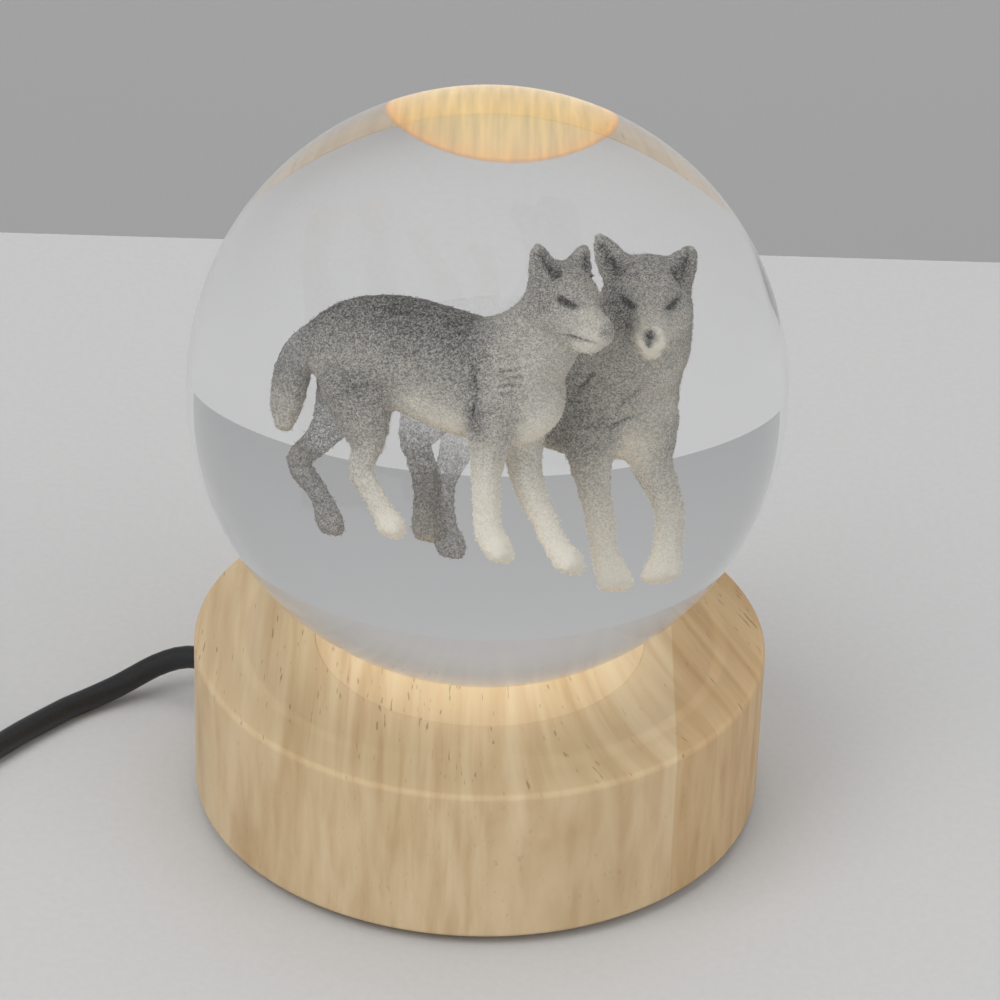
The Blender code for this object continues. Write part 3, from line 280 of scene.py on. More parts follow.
def painted_wood_image_group():
    """An oval patch on a ball: its mask, and its painted light with grain, streaks and an orange rim."""
    tree, given, result = group(
        "lit_image", "ShaderNodeTree", [(name, "Vector") for name in ("Middle", "Turn", "Size")],
        (("Mask", "Float"), ("Light", "Color")),
    )
    source = add(tree, "ShaderNodeTexCoord")
    place = add(
        tree, "ShaderNodeMapping", source.outputs["Object"], given["Middle"], given["Turn"], given["Size"],
        vector_type="TEXTURE",
    )
    _, _, up, away = parted(tree, place.outputs["Vector"])
    inside = maths(tree, "SUBTRACT", 1.0, away)
    edge = rescaled(tree, inside, -0.008, 0.012, kind="SMOOTHSTEP")
    mask = maths(tree, "MULTIPLY", edge, maths(tree, "GREATER_THAN", up, 0.0))
    rim = ramp(
        tree, maths(tree, "MULTIPLY", inside, 2.5), (0.0, (0.55, 0.22, 0.03)), (0.10, (0.95, 0.66, 0.30)),
        (0.35, (0.90, 0.82, 0.72)), (1.0, (1.0, 1.0, 1.0)),
    )
    grain = grained(tree, place_by_object(tree, (900, 60, 60)), Scale=1.0, Detail=3.0)
    streaks = rescaled(tree, grain, 0.3, 0.7, 0.72, 1.12)
    lit = add(
        tree, "ShaderNodeVectorMath", rim, operation="SCALE", Scale=maths(tree, "MULTIPLY", streaks, mask),
    )
    fed(result, Mask=mask, Light=lit.outputs["Vector"])
    return tree


def clear_glass(settings):
    """Clear glass, with a painted glow and a warm tint in an oval patch at the top of the ball, standing in
    for the lit wood's image seen through the ball.
    """
    made, tree, shader = material("clear_glass")
    image = add(
        tree, "ShaderNodeGroup", node_tree=painted_wood_image_group(), Middle=BALL_CENTRE,
        Turn=(-settings.image_lean, settings.image_side, 0.0),
        Size=(settings.image_width, settings.image_depth, BALL_RADIUS),
    ).outputs
    outside = maths(tree, "SUBTRACT", 1.0, add(tree, "ShaderNodeNewGeometry").outputs["Backfacing"])
    shown = maths(tree, "MULTIPLY", image["Mask"], outside)
    glow = blended(tree, 1.0, image["Light"], settings.image_colour, "MULTIPLY")
    # Painted light: the patch's warm tint and glow on the ball's outer face stand in for the lit wood's
    # image.
    fed(
        shader, Roughness=0.0, IOR=settings.bend, Transmission_Weight=1.0, Emission_Strength=1.0,
        Base_Color=blended(tree, shown, settings.glass_colour, settings.image_tint),
        Emission_Color=blended(tree, outside, (0.0, 0.0, 0.0), glow),
    )
    see_through = add(tree, "ShaderNodeBsdfTransparent", (0.93, 0.935, 0.94))
    path = add(tree, "ShaderNodeLightPath").outputs
    solid = tree.nodes["Principled BSDF"].outputs["BSDF"]
    joined(tree, path["Is Shadow Ray"], solid, see_through.outputs["BSDF"])
    return made


def stage_finish(name, shade):
    """A plain surface with fine grain. Mirrored in the ball it shows as plain colour."""
    made, tree, shader = material(name)
    fine = grained(tree, place_by_object(tree), Scale=900.0, Detail=3.0)
    fed(shader, Base_Color=ramp(tree, fine, (0.35, [c * 0.97 for c in shade]), (0.65, shade)), Roughness=0.75)
    plain = add(tree, "ShaderNodeEmission", [c * 0.95 for c in shade])
    path = add(tree, "ShaderNodeLightPath").outputs
    mirrored = maths(tree, "MULTIPLY", path["Is Singular Ray"], path["Is Reflection Ray"])
    joined(tree, mirrored, tree.nodes["Principled BSDF"].outputs["BSDF"], plain.outputs["Emission"])
    return made


def cord_sheath(settings):
    made, tree, shader = material("cord_sheath")
    fine = grained(tree, place_by_object(tree), Scale=2500.0, Detail=2.0)
    lighter = [c * 1.8 for c in settings.sheath]
    fed(
        shader, Base_Color=ramp(tree, fine, (0.3, settings.sheath), (0.8, lighter)), Roughness=0.42,
        Normal=bumped(tree, fine, 0.15, 0.00005),
    )
    return made


def grain_group():
    """Tone broken up into dots and streaks, and the share of dots that are there."""
    found = bpy.data.node_groups.get("engraved_grain")
    if found:
        return found
    tree, given, result = group(
        "engraved_grain", "ShaderNodeTree",
        (("Tone", "Float", 0.5), ("Cover", "Float", 1.0), ("Dots", "Float", 5000.0),
         ("Streaks", "Float", 900.0), ("Contrast", "Float", 0.4)),
        (("Tone", "Float"), ("Cover", "Float")),
    )

    def minus(first, second, **values):
        return maths(tree, "SUBTRACT", first, second, **values)

    def times(first, second, **values):
        return maths(tree, "MULTIPLY", first, second, **values)

    tone, cover = given["Tone"], given["Cover"]
    cells = add(tree, "ShaderNodeTexVoronoi", place_by_object(tree), Scale=given["Dots"])
    parts = add(tree, "ShaderNodeSeparateColor", cells.outputs["Color"]).outputs
    streaks = grained(tree, place_by_object(tree, (0.3, 1, 1)), Detail=4.0, Scale=given["Streaks"])
    uneven = times(times(minus(parts["Red"], 0.5), given["Contrast"]), minus(1.25, tone))
    dark = times(times(minus(streaks, 0.52), 1.6, clamp=True), minus(0.75, tone, clamp=True))
    room = maths(tree, "MINIMUM", cover, minus(1.0, cover))
    patchy = times(minus(parts["Green"], 0.5), times(room, 1.6))
    fed(
        result, Tone=minus(maths(tree, "ADD", tone, uneven), dark, clamp=True),
        Cover=maths(tree, "ADD", cover, patchy, clamp=True),
    )
    return tree


def marks_finish(name, settings, brighter):
    """Fine engraved dots: dark and sparse on the backs, bright and dense on the legs, with a faint painted
    glow in their own shades.
    """
    made, tree, shader = material(name)
    tone, cover = (
        add(tree, "ShaderNodeAttribute", attribute_name=layer).outputs["Fac"] for layer in ("tone", "cover")
    )
    grain = add(
        tree, "ShaderNodeGroup", node_tree=grain_group(), Tone=maths(tree, "ADD", tone, brighter),
        Cover=cover, Dots=8600.0, Streaks=2100.0, Contrast=0.5 - brighter,
    ).outputs
    shades = ramp(
        tree, grain["Tone"], (0.0, settings.dark), (0.3, settings.shade), (0.55, settings.coat),
        (0.78, settings.pale), (1.0, settings.bright),
    )
    fed(
        # The emission in the marks' own shades is a painted glow.
        shader, Base_Color=shades, Emission_Color=shades, Emission_Strength=settings.glow, Roughness=0.9,
        Specular_IOR_Level=0.1, Alpha=grain["Cover"],
    )
    return made


def wear_group():
    """Fine unevenness that every moulded, turned or plated surface has."""
    found = bpy.data.node_groups.get("fine_wear")
    if found:
        return found
    tree, given, result = group(
        "fine_wear", "ShaderNodeTree", (("Fine", "Float", 4000.0), ("Coarse", "Float", 180.0)),
        [(name, "Float") for name in ("Mottle", "Scuffs", "Height")],
    )
    place = place_by_object(tree)
    finer = maths(tree, "MULTIPLY", given["Coarse"], 3.0)
    scuffs = grained(tree, place, Scale=finer, Detail=3.0, Distortion=1.5)
    fed(
        result, Mottle=grained(tree, place, Scale=given["Coarse"], Detail=5.0, Roughness=0.6),
        Scuffs=rescaled(tree, scuffs, 0.55, 0.75),
        Height=grained(tree, place, Scale=given["Fine"], Detail=2.0),
    )
    return tree


def worn(name, shade, roughness, metallic=0.0, spread=0.12, grit=0.2, fine=4000.0, coat=0.0, glow=None):
    """A material with mottled colour, scuffed gloss and a fine surface."""
    made, tree, shader = material(name)
    wear = add(tree, "ShaderNodeGroup", node_tree=wear_group(), Fine=fine).outputs
    darker = [c * (1 - spread) for c in shade]
    lighter = [min(1.0, c * (1 + spread) + 0.004) for c in shade]
    fed(
        shader, Base_Color=ramp(tree, wear["Mottle"], (0.3, darker), (0.7, lighter)),
        Roughness=rescaled(tree, wear["Scuffs"], 0.0, 1.0, roughness, min(1.0, roughness + 0.18)),
        Metallic=metallic, Coat_Weight=coat, Normal=bumped(tree, wear["Height"], grit, 0.00004),
    )
    if glow:
        fed(shader, Emission_Strength=glow[0], Emission_Color=glow[1])
    return made


def wood_finish(settings):
    """Pale wood glued from two boards, with soft growth lines and short dark pores along the grain, and a
    painted pool of the lamp's light on its top near the ball.
    """
    made, tree, shader = material("pale_wood")
    source = add(tree, "ShaderNodeTexCoord").outputs
    x, y, z, away = parted(tree, source["Object"])
    upward = add(tree, "ShaderNodeSeparateXYZ", source["Normal"]).outputs["Z"]
    slant = rescaled(tree, x, 0.002, 0.030, 0.0, 0.42)
    slanted = maths(tree, "MULTIPLY_ADD", y, slant, x)
    across = add(tree, "ShaderNodeCombineXYZ", slanted, y, z).outputs["Vector"]

    def along_grain(stretch, scale, detail, distortion=0.0):
        place = add(tree, "ShaderNodeMapping", across, Scale=stretch).outputs["Vector"]
        return grained(tree, place, Scale=scale, Detail=detail, Distortion=distortion)

    lines = along_grain((1.0, 0.05, 0.14), 520.0, 4.0, 0.3)
    bands = along_grain((1.0, 0.08, 0.2), 60.0, 2.0, 0.6)
    pores = along_grain((1.0, 0.10, 0.30), 2700.0, 1.0)
    clusters = along_grain((1.0, 0.35, 0.8), 110.0, 1.0)
    fibre = along_grain((1.0, 0.02, 0.25), 3800.0, 2.0)
    wood = ramp(tree, lines, (0.30, settings.line), (0.52, settings.pale), (0.72, settings.light))
    broad = ramp(tree, bands, (0.35, (0.90, 0.87, 0.82)), (0.60, (1.0, 1.0, 1.0)))
    board = rescaled(tree, x, settings.seam - 0.0001, settings.seam + 0.0001)
    boards = blended(tree, board, blended(tree, 1.0, wood, broad, "MULTIPLY"), (0.88, 0.80, 0.70), "MULTIPLY")
    dark = rescaled(tree, maths(tree, "MULTIPLY_ADD", clusters, 0.22, pores), 0.815, 0.885, 0.0, 0.6)
    seen = maths(tree, "MULTIPLY", dark, rescaled(tree, upward, 0.0, 0.7, 0.3, 1.0))
    pored = blended(tree, seen, boards, settings.pore)
    # Painted light: near the axis the wood's top gives off its own colour as a pool of the lamp's light.
    spill = rescaled(tree, away, settings.spill, settings.recess * 0.35, kind="SMOOTHSTEP")
    lit = maths(tree, "MULTIPLY", spill, upward, clamp=True)
    height = maths(tree, "MULTIPLY_ADD", seen, -1.6, fibre)
    fed(
        shader, Base_Color=pored, Emission_Color=blended(tree, lit, (0.0, 0.0, 0.0), pored),
        Emission_Strength=settings.spill_strength, Roughness=rescaled(tree, fibre, 0.0, 1.0, 0.48, 0.66),
        Normal=bumped(tree, height, 0.35, 0.00006),
    )
    return made


# Shapes

def shown(name, data, finish=None):
    """A new object of some data, with a finish."""
    made = bpy.data.objects.new(name, data)
    bpy.context.scene.collection.objects.link(made)
    if finish:
        data.materials.append(finish)
    return made


def bound(piece, body, slot, *nodes):
    """Puts a piece on its body, in place of the solids that it stands for."""
    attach(piece, body)
    if nodes:
        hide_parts(*nodes)


def mesh_of(name, shape):
    data = bpy.data.meshes.new(name)
    shape.to_mesh(data)
    shape.free()
    return data


def piece_from(name, shape, finish):
    """A finished piece from a bmesh, with its place in its mesh."""
    data = mesh_of(name, shape)
    data.shade_smooth()
    data.set_sharp_from_angle(angle=math.radians(40))
    return shown(name, data, finish)


def spin_profile(name, profile, finish, sides=160, closed=False, centre=(0, 0, 0), axis=(0, 0, 1)):
    """A profile of (radius, height) turned round an axis through centre."""
    shape = bmesh.new()
    points = [shape.verts.new((r, 0, z)) for r, z in profile]
    edges = [shape.edges.new(pair) for pair in zip(points, points[1:])]
    if closed:
        edges.append(shape.edges.new((points[-1], points[0])))
    bmesh.ops.spin(
        shape, geom=points + edges, cent=(0, 0, 0), axis=(0, 0, 1), angle=math.tau, steps=sides,
        use_merge=True,
    )
    bmesh.ops.remove_doubles(shape, verts=shape.verts, dist=1e-7)
    bmesh.ops.recalc_face_normals(shape, faces=shape.faces)
    turn = Vector((0, 0, 1)).rotation_difference(Vector(axis)).to_matrix().to_4x4()
    bmesh.ops.transform(shape, matrix=Matrix.Translation(centre) @ turn, verts=shape.verts)
    return piece_from(name, shape, finish)


def arc(centre, radius, start, end, steps):
    turns = [start + (end - start) * i / steps for i in range(steps + 1)]
    return [(centre[0] + radius * math.cos(a), centre[1] + radius * math.sin(a)) for a in turns]


def polar(radius, angle, height=0.0):
    return Vector((radius * math.cos(angle), radius * math.sin(angle), height))


def smooth_line(points, step):
    """Evenly spaced points of the smooth curve through points."""
    rows = [Vector(p) for p in points]
    rows = [rows[0] * 2 - rows[1]] + rows + [rows[-1] * 2 - rows[-2]]
    fine = []
    for a, b, c, d in zip(rows, rows[1:], rows[2:], rows[3:]):
        slope, square, cube = c - a, 2 * a - 5 * b + 4 * c - d, 3 * b - a - 3 * c + d
        for t in (i / 12 for i in range(12)):
            fine.append(0.5 * (2 * b + slope * t + square * t**2 + cube * t**3))
    fine.append(rows[-2])
    along = [0.0]
    for a, b in zip(fine, fine[1:]):
        along.append(along[-1] + (b - a).length)
    count = max(2, round(along[-1] / step))
    line, k = [], 0
    for i in range(count + 1):
        want = along[-1] * i / count
        while k < len(fine) - 2 and along[k + 1] < want:
            k += 1
        share = (want - along[k]) / (along[k + 1] - along[k])
        line.append(fine[k].lerp(fine[k + 1], min(1.0, share)))
    return line


def bar_between(shape, start, end, radius, sides=24):
    """Adds a closed round bar to a bmesh."""
    start, end = Vector(start), Vector(end)
    turn = Vector((0, 0, 1)).rotation_difference(end - start).to_matrix().to_4x4()
    bmesh.ops.create_cone(
        shape, cap_ends=True, segments=sides, radius1=radius, radius2=radius, depth=(end - start).length,
        matrix=Matrix.Translation((start + end) / 2) @ turn,
    )


def box_of(shape, size, centre):
    """Adds a box to a bmesh."""
    bmesh.ops.create_cube(shape, size=1.0, matrix=Matrix.Translation(centre) @ Matrix.Diagonal((*size, 1)))


def baked(thing):
    """The evaluated object as a plain mesh."""
    view = bpy.context.evaluated_depsgraph_get()
    return bpy.data.meshes.new_from_object(thing.evaluated_get(view))


def carved(piece, *bodies):
    """Takes closed bodies, (kind, its values), out of a piece, and leaves a plain mesh."""
    shape = bmesh.new()
    for make, *values in bodies:
        make(shape, *values)
    cutter = shown("cutter", mesh_of("cutter", shape))
    hole = piece.modifiers.new("hole", "BOOLEAN")
    hole.operation = "DIFFERENCE"
    hole.solver = "EXACT"
    hole.object = cutter
    made = baked(piece)
    piece.modifiers.clear()
    old = piece.data
    piece.data = made
    made.set_sharp_from_angle(angle=SHARP)
    bpy.data.meshes.remove(old)
    bpy.data.objects.remove(cutter)


def grown(name, start, tree, finish, **values):
    """A plain mesh piece of what a Geometry Nodes tree makes from the start mesh."""
    holder = shown("grower", start)
    nodes = holder.modifiers.new("grow", "NODES")
    nodes.node_group = tree
    values["Finish"] = finish
    for item in tree.interface.items_tree:
        key = item.name.replace(" ", "_")
        if item.in_out == "INPUT" and key in values:
            nodes[item.identifier] = values[key]
    data = baked(holder)
    data.name = name
    data.materials.clear()
    bpy.data.objects.remove(holder)
    return shown(name, data, finish)


def instances_group(name, inputs, spread, smooth=False):
    """A tree that spreads instances, makes them real and gives them their finish."""
    tree, given, result = group(
        name, "GeometryNodeTree", [("Geometry", "Geometry"), *inputs, ("Finish", "Material")],
        [("Geometry", "Geometry")],
    )
    points, instance, scale = spread(tree, given)
    copies = add(tree, "GeometryNodeInstanceOnPoints", Points=points, Instance=instance, Scale=scale)
    real = add(tree, "GeometryNodeRealizeInstances", copies.outputs["Instances"]).outputs["Geometry"]
    if smooth:
        real = add(tree, "GeometryNodeSetShadeSmooth", real).outputs["Geometry"]
    done = add(tree, "GeometryNodeSetMaterial", real, Material=given["Finish"])
    feed(result["Geometry"], done.outputs["Geometry"])
    return tree


def closed_rings(shape, rings):
    """Adds a closed body through rings of points."""
    rings = [[shape.verts.new(point) for point in ring] for ring in rings]
    for first, second in zip(rings, rings[1:]):
        for k in range(len(first)):
            after = (k + 1) % len(first)
            shape.faces.new((first[k], first[after], second[after], second[k]))
    shape.faces.new(rings[0])
    shape.faces.new(rings[-1])


def squared(angle, power):
    """A turn's cosine and sine, drawn out to a rounded box."""
    return (math.copysign(abs(v) ** power, v) for v in (math.cos(angle), math.sin(angle)))


def lofted(name, finish, sections, squareness, sides=64):
    """A closed body of rounded-box sections along X: (x, half width, half height, middle height)."""
    shape = bmesh.new()
    turns = [tuple(squared(math.tau * (k + 0.5) / sides, 2 / squareness)) for k in range(sides)]
    closed_rings(shape, [
        [(x, c * half_width, s * half_height + height) for c, s in turns]
        for x, half_width, half_height, height in sections
    ])
    bmesh.ops.recalc_face_normals(shape, faces=shape.faces)
    return piece_from(name, shape, finish)


def eased(low_end, high_end, round_length):
    """Stops along a body whose ends round off: (place, share of its full section)."""
    turns = [QUARTER * i / 5 for i in range(6)]
    low = [(low_end + round_length * (1 - math.cos(a)), math.sin(a)) for a in turns]
    high = [(high_end - round_length * (1 - math.cos(a)), math.sin(a)) for a in reversed(turns)]
    return low + high


def placed(piece, at, heading=0.0):
    """Moves a piece's mesh to its place, and leaves its object at the origin."""
    piece.data.transform(Matrix.Translation(at) @ Matrix.Rotation(heading, 4, "Z"))
    return piece


class LAMP_OT_stage(bpy.types.Operator):
    """Sets up the table, the backdrop, soft lamps and the camera"""

    bl_idname = "lamp.stage"
    bl_label = "Stage"

    def execute(self, context):
        settings = context.scene.lamp_stage
        back = settings.table_back
        for name, shade, corners in (
            ("table", settings.floor_colour, ((-3, -3, 0), (3, -3, 0), (3, back, 0), (-3, back, 0))),
            ("backdrop", settings.backdrop_colour, ((-6, 1.6, -2), (6, 1.6, -2), (6, 1.6, 4), (-6, 1.6, 4))),
        ):
            data = bpy.data.meshes.new(name)
            data.from_pydata(corners, [], [(0, 1, 2, 3)])
            shown(name, data, stage_finish(name, shade))
        world = bpy.data.worlds.new("studio")
        world.use_nodes = True
        fed(world.node_tree.nodes["Background"].inputs, Color=(0.97, 0.98, 1.0), Strength=0.55)
        context.scene.world = world
        for name, spot, width, power in (
            ("key", (-0.9, -0.7, 1.3), 1.0, 11.0),
            ("fill", (1.0, -0.8, 0.9), 1.2, 5.0),
            ("top", (0.1, 0.5, 1.6), 1.2, 6.0),
        ):
            data = bpy.data.lights.new(name, "AREA")
            data.size = width
            data.energy = power
            lamp = shown(name, data)
            lamp.location = spot
            lamp.rotation_euler = (BALL_CENTRE - Vector(spot)).to_track_quat("-Z", "Y").to_euler()
            lamp.visible_glossy = False
            lamp.visible_transmission = False
        self.camera(context, settings)
        context.scene.view_settings.view_transform = "Standard"
        return {"FINISHED"}

    def camera(self, context, settings):
        """The photo's camera: above the ball's front, then turned, tipped and rolled a little."""
        rise, yaw, pitch, roll = (math.radians(a) for a in (29.0909, 0.2289, -1.6165, 1.7198))

        def turned(first, second, angle):
            c, s = math.cos(angle), math.sin(angle)
            return first * c + second * s, second * c - first * s

        back = Vector((0, -math.cos(rise), math.sin(rise)))
        right = Vector((1, 0, 0))
        up = right.cross(-back)
        ahead, right = turned(-back, right, yaw)
        ahead, up = turned(ahead, up, pitch)
        right, up = turned(right, up, roll)
        data = bpy.data.cameras.new("view")
        data.sensor_width = 36
        data.lens = settings.lens
        data.clip_start = 0.01
        camera = shown("view", data)
        axes = Matrix((right, up, -ahead)).transposed().to_4x4()
        camera.matrix_world = Matrix.Translation(BALL_CENTRE + back * settings.camera_distance) @ axes
        context.scene.camera = camera


# The cord's route, as in the solids, in hundredths of a millimetre
CORD_RUN_ROUTE = (
    (-3760, 1750, 660), (-3930, 1830, 660), (-4120, 1910, 640), (-4320, 1960, 590), (-4520, 1960, 520),
    (-4730, 1910, 440), (-4950, 1810, 350), (-5170, 1690, 270), (-5400, 1560, 210), (-5640, 1390, 180),
    (-5880, 1180, 180), (-6110, 930, 180), (-6430, 570, 180), (-6730, 190, 180), (-7030, -220, 180),
    (-7290, -700, 180), (-7470, -1250, 180), (-7590, -1820, 200), (-7770, -2330, 270), (-8050, -2710, 370),
    (-8380, -2880, 440), (-8730, -2900, 450), (-8850, -2900, 450),
)
CORD_LINK_ROUTE = (
    (-11750, -2900, 450), (-11900, -2900, 450), (-12240, -2890, 430), (-12630, -2820, 370),
    (-13000, -2620, 290), (-13280, -2280, 220), (-13440, -1840, 180), (-13500, -1300, 180),
    (-13480, -680, 190), (-13370, -30, 220), (-13250, 450, 250), (-13200, 780, 255),
)
CORD_TAIL_ROUTE = (
    (-13200, 1820, 630), (-13170, 2000, 660), (-13060, 2220, 710), (-12770, 2660, 870), (-12370, 3010, 980),
    (-11890, 3230, 1060), (-11520, 3340, 1120), (-11160, 3330, 1170), (-10840, 3170, 1200),
    (-10610, 2910, 1210), (-10445, 2620, 1210),
)
COIL_CENTRE = (-0.1060, 0.0130)
COIL_LOWER = 0.00255
COIL_PITCH = 0.00375
COIL_INNER_RADIUS = 0.0110
COIL_TURNS = 4
COIL_START = math.pi
CLIMB_SHARE = 0.5
COIL_POINTS = 48
# How the names of the pieces on each cord start
ON_LAMP_CORD = ("cord_bushing", "switch_", "pressed_button", "contact_strip", "leaf_spring")
ON_PLUG_CORD = ("coil_tie", "plug_")


def in_metres(route):
    return [tuple(v / 1e5 for v in point) for point in route]


def coil_point(turn):
    """The cord's middle after that many turns: spirals in below, climbs, and spirals out above."""
    angle = COIL_START - math.tau * turn
    radius = COIL_INNER_RADIUS + COIL_PITCH * abs(COIL_TURNS - turn)
    climb = min(1.0, max(0.0, (turn - COIL_TURNS) / CLIMB_SHARE + 0.5))
    height = COIL_LOWER + COIL_PITCH * (1 - math.cos(math.pi * climb)) / 2
    across, back = COIL_CENTRE
    return Vector((across + radius * math.cos(angle), back + radius * math.sin(angle), height))


class LAMP_OT_cords(bpy.types.Operator):
    """Lays the cord from the base to the switch, and on through its coil to the plug"""

    bl_idname = "lamp.cords"
    bl_label = "Cords"

    def execute(self, context):
        settings = context.scene.lamp_cord
        finish = cord_sheath(settings)
        run, link, tail = (
            smooth_line(in_metres(route), settings.diameter * 0.5)
            for route in (CORD_RUN_ROUTE, CORD_LINK_ROUTE, CORD_TAIL_ROUTE)
        )
        coil = [coil_point(i / COIL_POINTS) for i in range(2 * COIL_TURNS * COIL_POINTS + 1)]
        whole = link + coil + tail
        for name, line, nodes, far_end, lay, starts in (
            ("lamp_cord", run, ("cord_run",), "fitting", "loose", ON_LAMP_CORD),
            ("plug_cord", whole, ("cord_link", "cord_coil", "cord_end"), "plug", "coiled", ON_PLUG_CORD),
        ):
            cord = self.tube(name, line, settings.diameter, finish)
            bound(cord, "base", "cord_skin", *nodes)
            along = sum((b - a).length for a, b in zip(line, line[1:]))
            tuple(line[0])
        return {"FINISHED"}

    def tube(self, name, line, diameter, finish):
        data = bpy.data.curves.new(name, "CURVE")
        data.dimensions = "3D"
        data.bevel_depth = diameter / 2
        data.bevel_resolution = 4
        data.use_fill_caps = True
        spline = data.splines.new("POLY")
        spline.points.add(len(line) - 1)
        for point, place in zip(spline.points, line):
            point.co = (*place, 1.0)
        spline.use_smooth = True
        return shown(name, data, finish)


class LAMP_OT_ball(bpy.types.Operator):
    """Makes the polished glass ball"""

    bl_idname = "lamp.ball"
    bl_label = "Ball"

    def execute(self, context):
        settings = context.scene.lamp_glass
        shape = bmesh.new()
        bmesh.ops.create_uvsphere(
            shape, u_segments=settings.sides, v_segments=settings.sides // 2, radius=BALL_RADIUS,
        )
        bmesh.ops.transform(shape, matrix=Matrix.Translation(BALL_CENTRE), verts=shape.verts)
        bound(piece_from("polished_ball", shape, clear_glass(settings)), "ball", "clear_glass", "glass_ball")
        return {"FINISHED"}


# Wolves. WOLF_LENGTH is the figures' unit of length, and whole numbers in the tables are thousandths of it.
# A station holds right, towards the viewer, up, radius, tone and cover, from the middle of the trunk. Tone is
# how bright the marks are and cover how dense. A station without a cover is fully covered.
WOLF_LENGTH = 0.031
FIGURE_TILT = math.radians(20)
NEAR_WOLF_PLACE = (-0.0061, -0.0035, 0.0027)  # from the ball's middle: right, back, up
FAR_WOLF_PLACE = (0.0095, 0.0050, 0.0005)
TRUNK_SLIM = 0.66  # width of the trunk as a share of its height
LEG_SLIM = 0.85

# A limb holds its width as a share of its height, how much paler its upper side is, and its stations.
# A paw holds its direction (right, towards the viewer) and its station.
NEAR_WOLF = (
    (TRUNK_SLIM, -0.2, (  # trunk
        (-245, -87, 20, 85, 380), (-180, -63, 27, 130, 420), (-80, -30, 25, 155, 420), (20, 7, 5, 165, 440),
        (100, 36, -20, 172, 460), (180, 65, -40, 172, 460), (260, 94, -60, 160, 560),
        (315, 114, -90, 108, 660),
    )),
    (0.8, -0.1, (  # neck
        (220, 80, 0, 145, 500), (300, 110, 50, 135, 560), (360, 130, 120, 118, 580), (410, 150, 205, 92, 540),
    )),
    (1.0, 0.0, (  # tail
        (-262, -96, 55, 35, 240, 450), (-302, -115, 25, 42, 260, 400), (-332, -130, -30, 50, 340, 600),
        (-343, -135, -95, 52, 460, 900), (-350, -135, -155, 46, 560), (-353, -135, -200, 30, 620),
    )),
    (LEG_SLIM, 0.0, (  # near hind leg
        (-175, 0, -75, 105, 430), (-146, 12, -185, 70, 500), (-137, 18, -245, 44, 580),
        (-149, 14, -285, 38, 640), (-152, 12, -325, 34, 700), (-114, 24, -385, 31, 780),
        (-86, 35, -440, 31, 860), (-72, 40, -460, 33, 920),
    )),
    (LEG_SLIM, 0.0, (  # far hind leg
        (-170, -100, -40, 100, 340), (-190, -130, -140, 75, 300, 500), (-235, -155, -235, 43, 320, 450),
        (-298, -176, -305, 32, 420, 750), (-288, -175, -335, 32, 420, 650), (-250, -163, -380, 28, 360, 500),
        (-225, -155, -425, 30, 360, 500), (-216, -150, -455, 32, 400, 550),
    )),
    (LEG_SLIM, 0.0, (  # near front leg
        (220, 145, -120, 90, 500), (206, 142, -235, 56, 660), (202, 139, -325, 43, 800),
        (206, 140, -415, 40, 880), (213, 143, -478, 41, 940), (235, 150, -515, 38, 970),
    )),
    (LEG_SLIM, 0.0, (  # far front leg
        (300, 40, -175, 66, 560), (306, 48, -270, 51, 660), (327, 55, -350, 43, 760),
        (368, 65, -430, 38, 860), (402, 77, -500, 36, 930), (436, 90, -550, 37, 970),
    )),
)
NEAR_PAWS = (
    ((0.95, 0.32), (-62, 43, -472, 34, 960)), ((0.95, 0.32), (-208, -147, -472, 31, 420, 600)),
    ((0.93, 0.36), (247, 155, -535, 38, 1000)), ((0.93, 0.36), (455, 95, -568, 37, 1000)),
)
FAR_WOLF = (
    (TRUNK_SLIM, -0.18, (  # trunk
        (-490, -120, -10, 90, 500, 30), (-430, -110, 0, 135, 500, 30), (-320, -80, 5, 165, 500, 35),
        (-210, -40, 0, 180, 450, 80), (-100, 0, -10, 190, 360, 900), (0, 25, -30, 182, 480),
        (45, 40, -45, 138, 600),
    )),
    (0.8, -0.06, (  # neck
        (20, 40, 30, 160, 460), (80, 70, 105, 152, 500), (115, 80, 200, 120, 480),
    )),
    (1.0, 0.0, (  # tail
        (-520, -130, 30, 45, 500, 30), (-560, -140, -60, 50, 500, 30), (-570, -150, -150, 40, 500, 30),
        (-565, -150, -210, 27, 500, 30),
    )),
    (LEG_SLIM, 0.0, (  # near hind leg
        (-340, -30, -100, 90, 360, 120), (-370, -20, -180, 50, 360, 220), (-400, -30, -270, 30, 360, 360),
        (-408, -30, -330, 27, 360, 450), (-400, -25, -390, 28, 360, 500), (-391, -20, -425, 30, 380, 500),
    )),
    (LEG_SLIM, 0.0, (  # far hind leg
        (-410, -130, -60, 90, 360, 120), (-456, -160, -160, 52, 360, 300), (-470, -175, -200, 36, 380, 450),
        (-448, -170, -265, 31, 400, 600), (-436, -170, -320, 33, 440, 750), (-434, -170, -380, 33, 500, 850),
    )),
    (LEG_SLIM, 0.0, (  # near front leg
        (-35, 80, -120, 85, 420), (-34, 86, -200, 60, 540), (-24, 90, -277, 44, 660), (-6, 94, -354, 38, 780),
        (10, 100, -446, 36, 860), (30, 110, -500, 38, 920),
    )),
    (LEG_SLIM, 0.0, (  # far front leg
        (100, 20, -130, 85, 460), (115, 20, -215, 55, 560), (143, 25, -280, 44, 660),
        (168, 30, -346, 39, 760), (170, 40, -430, 40, 860), (169, 50, -475, 41, 900),
    )),
)
FAR_PAWS = (
    ((0.9, 0.43), (-385, -15, -442, 29, 380, 500)), ((0.9, 0.43), (-431, -165, -397, 34, 520, 900)),
    ((0.6, 0.8), (45, 120, -528, 37, 980)), ((-0.05, 1.0), (166, 60, -502, 40, 960)),
)

